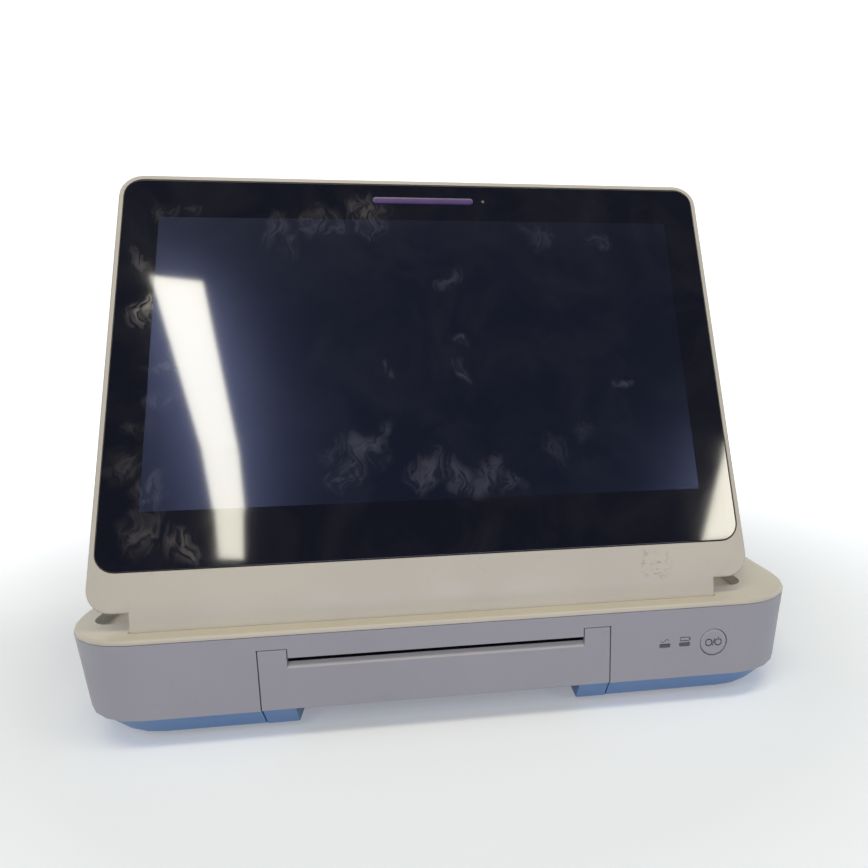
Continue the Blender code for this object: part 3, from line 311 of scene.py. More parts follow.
def rolled_metal(name, colour, roughness):
    """Plated or drawn sheet metal: fine parallel rolling lines that stretch the highlight."""
    made, tree, shader, place = start_material(name, colour, roughness, metallic=1.0)
    lines = add_node(tree, "ShaderNodeMapping", {"Vector": place, "Scale": (1, 40, 40)})["Vector"]
    streaks = patches(tree, lines, 22, (0.3, 0.7), (roughness - 0.07, roughness + 0.10), 3, 0.6)
    fill(tree, shader, {"Roughness": streaks})
    spots = patches(tree, place, 8, (0.4, 0.7), detail=4)
    paint(tree, shader, colour, (spots, shade(colour, 0.88)))
    return made


def plain_nylon(name, colour):
    """Moulded acetal or nylon: milky, waxy and nearly white, with grease-dark patches."""
    made, tree, shader, place = start_material(name, colour, 0.38)
    grease = patches(tree, place, 3, (0.55, 0.75), (0, 0.5), 4, 0.6)
    paint(tree, shader, colour, (grease, shade(colour, 0.7)))
    return made


# A brick pattern's colours as a mask of its joints
JOINTS = {"Color1": (0, 0, 0), "Color2": (0, 0, 0), "Mortar": (1, 1, 1)}


def solder_masked_board(name, colour):
    """Glass-epoxy board under green solder mask: copper tracks show through as paler lines."""
    made, tree, shader, place = start_material(name, colour, 0.38)
    pitch_mm = 9.0
    tracks = add_node(tree, "ShaderNodeTexBrick", {
        **JOINTS, "Vector": place, "Scale": 1000 / pitch_mm, "Mortar Size": 0.05,
        "Brick Width": 0.9, "Row Height": 0.25})["Color"]
    paint(tree, shader, colour, (tracks, shade(colour, 1.9)))
    return made


def chart_paper(name, colour):
    """Coated thermal chart paper: faintly warm, with a fine printed grid of centimetre squares."""
    made, tree, shader, place = start_material(name, colour, 0.6)
    square_mm = 10.0
    grid = add_node(tree, "ShaderNodeTexBrick", {
        **JOINTS, "Vector": place, "Scale": 1000 / square_mm, "Mortar Size": 0.018,
        "Brick Width": 1.0, "Row Height": 1.0}, offset=0.0)["Color"]
    fibre = patches(tree, place, 1.5, (0.3, 0.7), detail=4, roughness=0.7)
    paint(tree, shader, shade(colour, 0.96), (fibre, colour), (grid, linear("E6A68C")))
    return made


def glazed_ceramic(name, colour):
    """Glazed alumina of a thermal head: off-white, glossy and faintly uneven in tone."""
    made, tree, shader, place = start_material(name, colour, 0.22, ior=1.6)
    tone = patches(tree, place, 5, (0.3, 0.7), detail=3)
    paint(tree, shader, shade(colour, 0.9), (tone, colour))
    return made


def shrink_wrap(name, colour):
    """Heat-shrunk sleeve of a battery pack: satin blue with soft wrinkles."""
    made, tree, shader, place = start_material(name, colour, 0.33)
    folds = add_node(tree, "ShaderNodeMapping", {"Vector": place, "Scale": (1, 4, 1)})["Vector"]
    relief(tree, shader, folds, 12, 0.4, 0.6 * MM, 3)
    tone = patches(tree, place, 15, (0.3, 0.7), detail=3)
    paint(tree, shader, shade(colour, 0.85), (tone, shade(colour, 1.1)))
    return made


def studio_paper(name, colour, bounce):
    """Seamless studio paper: white to the eye and in mirrors, and fully white away from the object,
    but only a mid grey for the light that it throws back on the object."""
    made, tree, shader, place = start_material(name, colour, 0.9)
    glow = spot(tree, place, (0, 0, 0), 0.25, 0.8, 0.22, 1.0)
    fill(tree, shader, {"Emission Color": (1, 1, 1), "Emission Strength": glow})
    ray = add_node(tree, "ShaderNodeLightPath", {})
    seen = ray["Is Camera Ray"]
    for other in ("Is Glossy Ray", "Is Transmission Ray"):
        seen = add_node(tree, "ShaderNodeMath", {0: seen, 1: ray[other]}, operation="MAXIMUM")[0]
    dull = add_node(tree, "ShaderNodeBsdfDiffuse", {"Color": bounce})[0]
    both = add_node(tree, "ShaderNodeMixShader", {0: seen, 1: dull, 2: shader.outputs[0]})[0]
    fill(tree, tree.nodes["Material Output"], {"Surface": both})
    return made


# Materials by look, filled in by the first operator
LOOKS = {}


def make_looks():
    """All materials, by the finish that they give."""
    hue = bpy.context.scene.monitor_colours
    scuff = on_display([[116.3 * MM, 13.5 * MM, FACE]])[0]
    LOOKS.update({
        "cream": moulded_abs("moulded_cream_abs", hue.cream, 0.40),
        "worn_cream": moulded_abs("scuffed_cream_abs", hue.cream, 0.40, scuff=scuff),
        "grey": moulded_abs("moulded_grey_white_abs", hue.grey, 0.42, dirt=0.3),
        "blue": moulded_abs("moulded_blue_abs", hue.blue, 0.40, dirt=0.35),
        "black": moulded_abs("moulded_black_abs", hue.black, 0.48, grain=0.12, dirt=0.3),
        "glass": touched_glass("printed_touch_glass", hue.print_black, linear("464244")),
        "screen": touched_glass("unlit_screen_under_glass", hue.screen_navy, linear("40414B"),
                                scatter=linear("8FA0E8")),
        "alarm": tinted_lens("purple_light_diffuser", hue.alarm, 0.3),
        "smoke": tinted_lens("smoked_light_guide", linear("56565D"), 0.3),
        "ink": tinted_lens("screen_printed_ink", linear("25262B"), 0.5),
        "rubber": moulded_rubber("moulded_black_rubber", linear("1D1D1F")),
        "steel": rolled_metal("zinc_plated_steel", linear("B7B9BB"), 0.34),
        "gold": rolled_metal("gold_plated_contact", linear("D9B45C"), 0.25),
        "aluminium": rolled_metal("mill_finish_aluminium", linear("C6C8CB"), 0.38),
        "nylon": plain_nylon("white_acetal", linear("E7E4DB")),
        "board": solder_masked_board("green_circuit_board", linear("1D5737")),
        "paper": chart_paper("thermal_chart_paper", hue.paper),
        "ceramic": glazed_ceramic("glazed_head_ceramic", linear("D9D2C2")),
        "wrap": shrink_wrap("battery_shrink_wrap", linear("2F4A6B")),
    })


# Mesh helpers

def box_of(node):
    """A CAD node's box: its low and high corners, its middle and half its size."""
    low, high = (np.array(corner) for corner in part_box(node))
    return low, high, (low + high) / 2, (high - low) / 2


def mesh_points(mesh):
    """The points of a mesh, one in a row."""
    points = np.empty(len(mesh.vertices) * 3)
    mesh.vertices.foreach_get("co", points)
    return points.reshape(-1, 3)


def arc(centre, radius, start, end, steps):
    """Points of a circular arc in a profile's plane, angles in degrees."""
    angle = np.radians(np.linspace(start, end, steps))
    return [(centre[0] + radius * math.cos(a), centre[1] + radius * math.sin(a)) for a in angle]


def outline(half, low, high, radius):
    """Rounded rectangle, once round from the lower right corner: each corner is
    centre + radius (cos a, sin a) over a quarter turn, joined by straight sides."""
    quarter = np.linspace(0, math.pi / 2, CORNER_STEPS)
    rows = []
    centres = ((half - radius, low + radius, -0.5), (half - radius, high - radius, 0.0),
               (-half + radius, high - radius, 0.5), (-half + radius, low + radius, 1.0))
    for x, y, start in centres:
        angle = quarter + start * math.pi
        rows.append(np.stack([x + radius * np.cos(angle), y + radius * np.sin(angle)], 1))
    return np.concatenate(rows)


def linked(name, data):
    """A new object at the origin of the scene."""
    made = bpy.data.objects.new(name, data)
    bpy.context.scene.collection.objects.link(made)
    return made


def level(points, height):
    """Plane points lifted to one height: rows of (x, y, height)."""
    return np.column_stack([points, np.full(len(points), height)])


def on_display(points):
    """Display coordinates (across, up the screen, out of it) placed about the hinge axis."""
    points = np.asarray(points, float)
    return (np.array([1.0, 0, 0]) * points[..., :1] + HINGE + UP_SCREEN * points[..., 1:2]
            + OFF_SCREEN * points[..., 2:3])


def square_to(axis):
    """Two unit directions square to a unit axis and to each other."""
    side = np.cross(axis, (0, 0, 1) if abs(axis[2]) < 0.9 else (1, 0, 0))
    side /= np.linalg.norm(side)
    return side, np.cross(axis, side)


def shell_mesh(rows, wrap_rows=False, caps=True, wrap_points=True):
    """A mesh of quads between rows of points. Row i, point j is joined to row i + 1, point j + 1;
    caps close the first and the last row with one face each."""
    rows = np.asarray(rows, float)
    count, width = rows.shape[:2]
    index = np.arange(count * width).reshape(count, width)
    below = index if wrap_rows else index[:-1]
    above = np.roll(index, -1, 0) if wrap_rows else index[1:]
    quads = np.stack([below, np.roll(below, -1, 1), np.roll(above, -1, 1), above], -1)
    if not wrap_points:
        quads = quads[:, :-1]
    faces = quads.reshape(-1, 4).tolist()
    if caps and not wrap_rows:
        faces += [index[0][::-1].tolist(), index[-1].tolist()]
    mesh = bpy.data.meshes.new("form")
    mesh.from_pydata(rows.reshape(-1, 3), [], faces)
    return mesh


def turned_mesh(profile, centre, axis, sides=64):
    """A profile of (radius, height) carried once round an axis: centre + radius (cos a, sin a) in
    the plane across the axis + height along it."""
    radius, height = np.asarray(profile, float).T[:, :, None, None]
    axis = np.asarray(axis, float) / np.linalg.norm(axis)
    side, other = square_to(axis)
    angle = np.linspace(0, 2 * math.pi, sides, endpoint=False)
    ring = np.cos(angle)[:, None] * side + np.sin(angle)[:, None] * other
    return shell_mesh(np.asarray(centre, float) + radius * ring + height * axis, caps=False)


def box_mesh(low, high):
    """A plain box between two corners."""
    foot = [(low[0], low[1]), (high[0], low[1]), (high[0], high[1]), (low[0], high[1])]
    return shell_mesh([level(foot, z) for z in (low[2], high[2])])


def band_mesh(line, width, heights, origin, across=(1, 0, 0), up=(0, 0, 1), outward=(0, -1, 0)):
    """A band along a line of (across, up) points, between two heights: its edges lie half a width
    to each side of the line."""
    origin, across, up, outward = (np.asarray(v, float) for v in (origin, across, up, outward))
    line = np.asarray(line, float)
    along = np.gradient(line, axis=0)
    along /= np.linalg.norm(along, axis=1)[:, None]
    beside = np.column_stack([-along[:, 1], along[:, 0]]) * width / 2
    (low, high), left, right = heights, line + beside, line - beside
    rows = [origin + edge[:, :1] * across + edge[:, 1:] * up + height * outward
            for height, edge in ((low, left), (high, left), (high, right), (low, right))]
    return shell_mesh(np.array(rows).transpose(1, 0, 2))


def pin_mesh(centre, axis, radius, length):
    """A contact pin with a round nose: a cylinder, then a quarter-round tip."""
    nose = arc((0, length - radius), radius, 0, 90, 5)
    return turned_mesh([(0, 0), (radius, 0)] + nose, centre, axis, 12)


def screw_mesh(centre, axis, radius, height):
    """A pan-head screw: height times (1.25 - (r / R) ** 4), less a cross-shaped recess 0.75 height
    deep, whose arms are where the smaller of |x| and |y| is under R / 4."""
    arm_width, arm_length, slope = 0.25, 0.62, 0.08
    axis = np.asarray(axis, float)
    side, other = square_to(axis)
    angle = np.linspace(0, 2 * math.pi, 48, endpoint=False)
    share = np.concatenate([np.linspace(0, 0.9, 13), [0.97, 1.0, 1.0]])[:, None]
    x, y = share * np.cos(angle), share * np.sin(angle)
    arms = np.clip((arm_width - np.minimum(abs(x), abs(y))) / slope, 0, 1)
    arms *= np.clip((arm_length - share) / slope, 0, 1)
    lift = height * (1.25 - share ** 4 - 0.75 * arms)
    lift[-1] = 0
    rows = np.asarray(centre, float) + radius * (x[..., None] * side + y[..., None] * other)
    return shell_mesh(rows + lift[..., None] * axis)


def joined(meshes):
    """Several meshes as one."""
    bm = bmesh.new()
    for mesh in meshes:
        bm.from_mesh(mesh)
        bpy.data.meshes.remove(mesh)
    made = bpy.data.meshes.new("form")
    bm.to_mesh(made)
    bm.free()
    return made


def tidy_mesh(mesh, sharp=SHARP):
    """Merges doubles, turns every face outwards and smooths all but the sharp edges."""
    bm = bmesh.new()
    bm.from_mesh(mesh)
    bmesh.ops.remove_doubles(bm, verts=bm.verts, dist=MERGE)
    bmesh.ops.recalc_face_normals(bm, faces=bm.faces)
    bm.to_mesh(mesh)
    bm.free()
    mesh.shade_smooth()
    mesh.set_sharp_from_angle(angle=math.radians(sharp))


def combined(mesh, added, taken):
    """A closed mesh with the added closed meshes joined on and the taken ones cut away."""
    base = linked("base_form", mesh)
    others = []
    for operation, meshes in (("UNION", added), ("DIFFERENCE", taken)):
        for other in meshes:
            tidy_mesh(other)
            part = linked("other_form", other)
            step = base.modifiers.new("combined", "BOOLEAN")
            step.operation, step.solver, step.object = operation, "EXACT", part
            others.append(part)
    graph = bpy.context.evaluated_depsgraph_get()
    made = bpy.data.meshes.new_from_object(base.evaluated_get(graph))
    for item in (base, *others):
        bpy.data.objects.remove(item)
    return made


# Pieces

def dress(mesh, look):
    """Gives a mesh its one material."""
    mesh.materials.clear()
    mesh.materials.append(LOOKS[look])


def link_piece(name, mesh, look, body, replaced):
    """Links a finished mesh as a piece on its body, in place of the replaced CAD nodes."""
    mesh.name = name
    dress(mesh, look)
    made = linked(name, mesh)
    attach(made, body)
    if replaced:
        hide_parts(*replaced)
    return made


def add_piece(name, mesh, look, body="base", replaced=(), sharp=SHARP):
    """A made mesh as a piece."""
    tidy_mesh(mesh, sharp)
    link_piece(name, mesh, look, body, replaced)


def add_screws(name, places, axis, radius, height, body="base"):
    """Like screws as one piece."""
    heads = [screw_mesh(place, axis, radius, height) for place in places]
    add_piece(name, joined(heads), "steel", body)


def merged_copy(mesh):
    """A mesh's own data to edit, with its doubles merged."""
    bm = bmesh.new()
    bm.from_mesh(mesh)
    bmesh.ops.remove_doubles(bm, verts=bm.verts, dist=COPY_MERGE)
    return bm


def moulded_copy(name, node, look, body="base", edge=None, added=(), taken=(), move=None):
    """A CAD node's own form, merged and flattened where its triangles lie in one plane, with its
    edges rounded by a bevel of radius edge. Added forms are joined on first and taken ones cut
    away; move(points) gives the points' new places."""
    mesh = frame["nodes"][node].data.copy()
    bm = merged_copy(mesh)
    if added or taken:
        bm.to_mesh(mesh)
        bm.free()
        mesh = combined(mesh, added, taken)
        bm = merged_copy(mesh)
    bmesh.ops.dissolve_limit(bm, angle_limit=FLAT, verts=bm.verts, edges=bm.edges,
                             use_dissolve_boundaries=False)
    bm.to_mesh(mesh)
    bm.free()
    if move:
        mesh.vertices.foreach_set("co", move(mesh_points(mesh)).ravel())
    mesh.shade_smooth()
    mesh.set_sharp_from_angle(angle=math.radians(COPY_SHARP))
    made = link_piece(name, mesh, look, body, (node,))
    bevel = made.modifiers.new("rounded_edges", "BEVEL")
    bevel.width = sizes().edge_round if edge is None else edge
    bevel.segments = BEVEL_STEPS
    bevel.limit_method = "ANGLE"
    bevel.angle_limit = math.radians(COPY_SHARP)
    bevel.miter_outer = "MITER_ARC"
    bevel.harden_normals = True
    flat = made.modifiers.new("flat_faces", "WEIGHTED_NORMAL")
    flat.keep_sharp = True
    flat.weight = 100  # the large flat faces decide


# Operators: one for each piece or group of like pieces

class BuildOperator(Operator):
    """Common ground of the operators: an undo step in the 3D view"""
    bl_options = {"REGISTER", "UNDO"}


class MONITOR_OT_materials(BuildOperator):
    """Make every material from the colours in the panel"""
    bl_idname = "monitor.materials"
    bl_label = "Materials"

    def execute(self, context):
        make_looks()
        return {"FINISHED"}


class MONITOR_OT_base_shells(BuildOperator):
    """Top cover, housing, bottom tray, battery door and rear plate with rounded edges"""
    bl_idname = "monitor.base_shells"
    bl_label = "Base shells"

    def execute(self, context):
        moulded_copy("top_cover_shell", "top_cover", "cream")
        moulded_copy("housing_shell", "housing", "grey", edge=0.3 * MM)
        moulded_copy("bottom_tray_shell", "bottom_tray", "blue")
        moulded_copy("battery_door_panel", "battery_door", "blue", edge=0.2 * MM)
        moulded_copy("rear_connector_plate", "rear_plate", "grey", edge=0.2 * MM)
        return {"FINISHED"}


def chin_corner(side):
    """The chin's lower corner beside the hinge barrel, in display coordinates: a band between the
    corner's outline, a quarter circle of radius R, and a line inside the wall. The outline steps
    in by r (1 - cos a) while the form rises by r sin a at its front edge."""
    near, half, foot, rise = 148.0 * MM, 169.0 * MM, 4.0 * MM, 4.5 * MM
    radius, rim, reach, parting = 12.8 * MM, 0.9 * MM, 1.5 * MM, -1.5 * MM
    middle = half - radius
    inner = [(half - reach, foot + rise + radius + MM)]
    inner += arc((middle, foot + rise + radius), radius - reach, 0, -90, 12)
    inner += [(near, foot + rise + reach)]
    rows = []
    for inset, height in [(0, parting)] + [(rim + x, FACE - rim + y)
                                           for x, y in arc((0, 0), rim, 180, 90, 5)]:
        outer = [(near, foot + inset)] + arc((middle, foot + radius), radius - inset, -90, 0, 12)
        outer += [(half - inset, foot + rise + radius + MM)]
        ring = np.array(outer + inner) * (side, 1)
        rows.append(level(ring, height))
    return shell_mesh(on_display(rows))


def barrel_bend():
    """What the chin's face lacks in front of the hinge barrel: a wedge along the barrel whose back
    is the plane that leaves the face a little above the hinge and meets the barrel at the deck."""
    half = 148.5 * MM
    section = [(5.0, 7.0), (5.0, 8.5), (-7.5, 8.5), (-7.5, 3.65)]
    rows = [[(x, up * MM, out * MM) for up, out in section] for x in (-half, half)]
    return shell_mesh(on_display(rows))


def rear_screw_places():
    """Where the screws sit, in sunk seats behind the display."""
    half, heights, floor = 152 * MM, (24 * MM, 232 * MM), -7.8 * MM
    return [on_display([[sx * half, up, floor]])[0] for sx in (-1, 1) for up in heights]


class MONITOR_OT_display_shells(BuildOperator):
    """Display frame with its chin and hinge barrel, and the rear cover"""
    bl_idname = "monitor.display_shells"
    bl_label = "Display shells"

    def execute(self, context):
        moulded_copy("display_frame", "display_bezel", "worn_cream", "display", 0.35 * MM,
                     added=(chin_corner(-1), chin_corner(1)), taken=(barrel_bend(),))
        radius, floor, top = 3.1 * MM, -0.1 * MM, 3 * MM
        seat = [(0, floor), (radius, floor), (radius, top), (0, top)]
        seats = [turned_mesh(seat, place, -OFF_SCREEN, 32) for place in rear_screw_places()]
        moulded_copy("display_rear_cover", "display_back", "cream", "display", taken=seats)
        return {"FINISHED"}


class MONITOR_OT_touch_glass(BuildOperator):
    """Printed touch glass as a frame round the dark screen, and the screen itself"""
    bl_idname = "monitor.touch_glass"
    bl_label = "Touch glass and screen"

    def execute(self, context):
        size = sizes()
        half, low, high, back = 166.1 * MM, 23.55 * MM, 242.45 * MM, 5.0 * MM
        ground = size.glass_round
        window = outline(size.screen_width / 2, size.screen_bottom,
                         size.screen_bottom + size.screen_height, 0.3 * MM)

        def ring(inset):
            return outline(half - inset, low + inset, high - inset, size.glass_corner - inset)

        # Across the glass: window edge, flat face (with a row that keeps it flat beside the ground
        # edge), quarter-round ground edge, side, flat back.
        rows = [level(window, FACE), level(ring(ground + 0.1 * MM), FACE)]
        for inset, drop in arc((ground, -ground), -ground, -90, 0, 5):
            rows.append(level(ring(inset), FACE + drop))
        rows += [level(ring(0), back), level(window, back)]
        glass = shell_mesh(on_display(rows), wrap_rows=True)
        add_piece("touch_glass_pane", glass, "glass", "display", ("touch_glass",))
        screen = shell_mesh(on_display([level(window, back), level(window, FACE)]))
        add_piece("screen_face", screen, "screen", "display")
        return {"FINISHED"}


class MONITOR_OT_alarm_light(BuildOperator):
    """Alarm light bar with rounded ends, and the ambient light sensor beside it"""
    bl_idname = "monitor.alarm_light"
    bl_label = "Alarm light"

    def execute(self, context):
        middle, half, rise, face = 231.85 * MM, 29.5 * MM, 2.0 * MM, 7.02 * MM
        thick, crown_height = 1.8 * MM, 0.08 * MM
        sensor_across, sensor_radius, sensor_rise = 35.4 * MM, 0.9 * MM, 0.03 * MM

        def bar(inset):
            return outline(half - inset, middle - rise + inset, middle + rise - inset, rise - inset)

        # Height of the lens: a low crown that falls as the fourth power towards the edge.
        insets = np.linspace(0, 0.9 * rise, 7)
        crown = face + crown_height * (1 - (1 - insets / rise) ** 4)
        rows = [level(bar(0), face - thick)] + [level(bar(i), z) for i, z in zip(insets, crown)]
        lens = shell_mesh(on_display(rows))
        add_piece("alarm_light_lens", lens, "alarm", "display", ("alarm_light",))
        centre = on_display([[sensor_across, middle, face]])[0]
        profile = [(0, sensor_rise), (sensor_radius - 0.2 * MM, sensor_rise), (sensor_radius, 0),
                   (sensor_radius, -0.4 * MM), (0, -0.4 * MM)]
        add_piece("light_sensor", turned_mesh(profile, centre, OFF_SCREEN, 24), "smoke", "display")
        return {"FINISHED"}


class MONITOR_OT_drawer_front(BuildOperator):
    """Paper drawer's front and its blue skirt"""
    bl_idname = "monitor.drawer_front"
    bl_label = "Drawer front"

    def execute(self, context):
        low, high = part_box("drawer_front")
        lip, lower = high.z - 16.2 * MM, 1.5 * MM

        def deeper_lip(points):
            edge = (points[:, 1] < low.y + 0.1 * MM) & (abs(points[:, 2] - lip) < 0.4 * MM)
            points[edge, 2] -= lower
            return points

        moulded_copy("drawer_front_panel", "drawer_front", "grey", "paper_drawer", 0.3 * MM,
                     move=deeper_lip)
        moulded_copy("drawer_skirt_grip", "drawer_skirt", "blue", "paper_drawer", 0.5 * MM)
        return {"FINISHED"}


class MONITOR_OT_power_button(BuildOperator):
    """Round, faintly dished power button with a rounded rim"""
    bl_idname = "monitor.power_button"
    bl_label = "Power button"

    def execute(self, context):
        low, high, middle, half = box_of("power_button")
        radius, length = half[0], high[1] - low[1]
        rim, dish = sizes().button_round, 0.12 * MM
        # Height of the face: a shallow parabola, then a rounded rim.
        inner = radius - rim
        profile = [(r, -dish * (1 - (r / inner) ** 2)) for r in np.linspace(0, inner, 7)]
        profile += arc((inner, -rim), rim, 90, 0, 6)[1:]
        profile += [(radius, -length), (0, -length)]
        cap = turned_mesh(profile, (middle[0], low[1], middle[2]), (0, -1, 0))
        add_piece("power_button_cap", cap, "grey", "power_button", ("power_button",), sharp=50)
        return {"FINISHED"}


def circle_line(x, z, radius, start=0.0, end=360.0, steps=33):
    """Points (x + radius cos a, z + radius sin a) from one angle to another, in degrees."""
    angle = np.radians(np.linspace(start, end, steps))
    return np.column_stack([x + radius * np.cos(angle), z + radius * np.sin(angle)])


def symbol_lines():
    """Each printed symbol's lines of (across, up) points with their widths, in mm about the
    symbol's middle: a full sine wave, a battery with its tip, a ring with a slash and a standby
    sign, a head with two sound waves, a bell-shaped curve, and a hand-held button."""
    swing, spread = np.linspace(-1, 1, 17), np.linspace(-1, 1, 25)
    wave = np.column_stack([2.1 * swing, 0.75 * np.sin(swing * math.pi)])
    battery = [(-2.4, -0.95), (2.4, -0.95), (2.4, 0.95), (-2.4, 0.95), (-2.4, -0.95)]
    tip = [(2.75, -0.55), (2.75, 0.55)]
    standby = circle_line(2.6, 0, 1.8, 112, 428)
    standby_bar, slash = [(2.6, 0.9), (2.6, 2.8)], [(-0.55, -2.1), (0.55, 2.1)]
    sound = [(circle_line(0, 0, 1.7), 0.5)]
    sound += [(circle_line(0, 0, radius, -50, 50, 9), 0.5) for radius in (2.7, 3.7)]
    bell = np.column_stack([3 * spread, 1.8 * np.exp(-(2.4 * spread) ** 2) - 0.6])
    stalk, grip = [(0, 0.3), (0, 1.6)], [(-1.1, -2.4), (-1.1, 0.3), (1.1, 0.3), (1.1, -2.4)]
    return {
        "mains_symbol": [(wave, 0.3)],
        "battery_symbol": [(battery, 0.45), (tip, 0.9)],
        "power_symbol": [(circle_line(-2.6, 0, 1.8), 0.62), (standby, 0.62), (standby_bar, 0.5),
                         (slash, 0.4)],
        "ultrasound_socket_1_symbol": sound,
        "ultrasound_socket_2_symbol": sound,
        "contraction_socket_symbol": [(bell, 0.5)],
        "marker_socket_symbol": [(stalk, 0.5), (grip, 0.5)],
    }


SYMBOLS = symbol_lines()


def printed_marks(name, body, origin, *directions):
    """A symbol's lines on a flat face, as thin raised bands of ink."""
    ink = (0, 0.03 * MM)
    bands = [band_mesh(np.asarray(line) * MM, width * MM, ink, origin, *directions)
             for line, width in SYMBOLS[name]]
    add_piece(name, joined(bands), "ink", body)


class MONITOR_OT_front_lights(BuildOperator):
    """Mains and battery lights with their printed symbols, and the button's symbol"""
    bl_idname = "monitor.front_lights"
    bl_label = "Lights and symbols"

    def execute(self, context):
        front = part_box("housing")[0].y
        # The window's slight crown: how far each step is inset and stands out of the front.
        crown = ((0, 0), (0.05 * MM, 0.04 * MM), (0.2 * MM, 0.06 * MM))
        for node in ("mains_light", "battery_light"):
            low, high, middle, half = box_of(node)
            rows = []
            for inset, y in [(0, high[1])] + [(inset, low[1] - out) for inset, out in crown]:
                ring = outline(half[0] - inset, inset - half[2], half[2] - inset, 0.6 * half[2])
                rows.append(np.insert(ring + middle[[0, 2]], 1, y, axis=1))
            add_piece(node + "_lens", shell_mesh(rows), "smoke", replaced=(node,))
        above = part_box("mains_light")[1].z + 1.9 * MM
        for name, node, lift in (("mains_symbol", "mains_light", 0),
                                 ("battery_symbol", "battery_light", 0.35 * MM)):
            printed_marks(name, "base", (box_of(node)[2][0], front, above + lift))
        low, _, middle, _ = box_of("power_button")
        dish = 0.09 * MM
        printed_marks("power_symbol", "power_button", (middle[0], low[1] + dish, middle[2]))
        return {"FINISHED"}


class MONITOR_OT_transducer_sockets(BuildOperator):
    """Four round sockets on the left side, each with its pin carrier, pins and printed symbol"""
    bl_idname = "monitor.transducer_sockets"
    bl_label = "Transducer sockets"

    def execute(self, context):
        # The side wall leans out by 4 mm over its height; the sockets stand square to it.
        lean = math.atan2(4.0, 38.8)
        axis = np.array([-math.cos(lean), 0, -math.sin(lean)])
        upward = np.array([-math.sin(lean), 0, math.cos(lean)])
        ahead = np.array([0, 1.0, 0])
        flange, body, bore, depth = 12.4 * MM, 10.5 * MM, 6.8 * MM, 12 * MM
        thick, length, edge = 1.2 * MM, 17.5 * MM, 0.5 * MM
        groove_inner, groove_outer, groove_depth = 9.4 * MM, 10.2 * MM, 0.25 * MM
        carrier_radius, carrier_height, chamfer = bore - 0.8 * MM, 2.2 * MM, 0.3 * MM
        pin_radius, pin_length, pin_circle = 0.5 * MM, 7 * MM, 3.3 * MM
        symbol_gap = 4.5 * MM
        for node in ("ultrasound_socket_1", "ultrasound_socket_2", "contraction_socket",
                     "marker_socket"):
            points = mesh_points(frame["nodes"][node].data)
            along = points @ axis
            face = points[along > along.max() - 0.01 * MM]
            centre = (face.min(0) + face.max(0)) / 2
            # From the floor of the bore up its wall, over the rounded lip, a groove and the
            # flange to the back.
            profile = [(0, -depth), (bore, -depth), (bore, -edge)]
            profile += [(bore + edge - r, h - edge) for r, h in arc((0, 0), edge, 0, 90, 4)]
            profile += [(groove_inner, 0), (groove_inner + 0.2 * MM, -groove_depth),
                        (groove_outer - 0.2 * MM, -groove_depth), (groove_outer, 0)]
            profile += arc((flange - edge, -edge), edge, 90, 0, 4)
            profile += [(flange, -thick), (body, -thick), (body, -length), (0, -length)]
            shell = turned_mesh(profile, centre, axis, 72)
            add_piece(node + "_shell", shell, "black", replaced=(node,), sharp=40)
            floor = centre - axis * depth
            carrier = [(0, carrier_height), (carrier_radius - chamfer, carrier_height),
                       (carrier_radius, carrier_height - chamfer), (carrier_radius, 0), (0, 0)]
            add_piece(node + "_pin_carrier", turned_mesh(carrier, floor, axis, 48), "nylon")
            places = [floor]
            for turn in np.radians(np.arange(6) * 60 + 30):
                way = math.cos(turn) * ahead + math.sin(turn) * upward
                places.append(floor + pin_circle * way)
            pins = [pin_mesh(place, axis, pin_radius, pin_length) for place in places]
            add_piece(node + "_pins", joined(pins), "gold")
            wall = centre - axis * thick + upward * (flange + symbol_gap)
            printed_marks(node + "_symbol", "base", wall, -ahead, upward, axis)
        return {"FINISHED"}


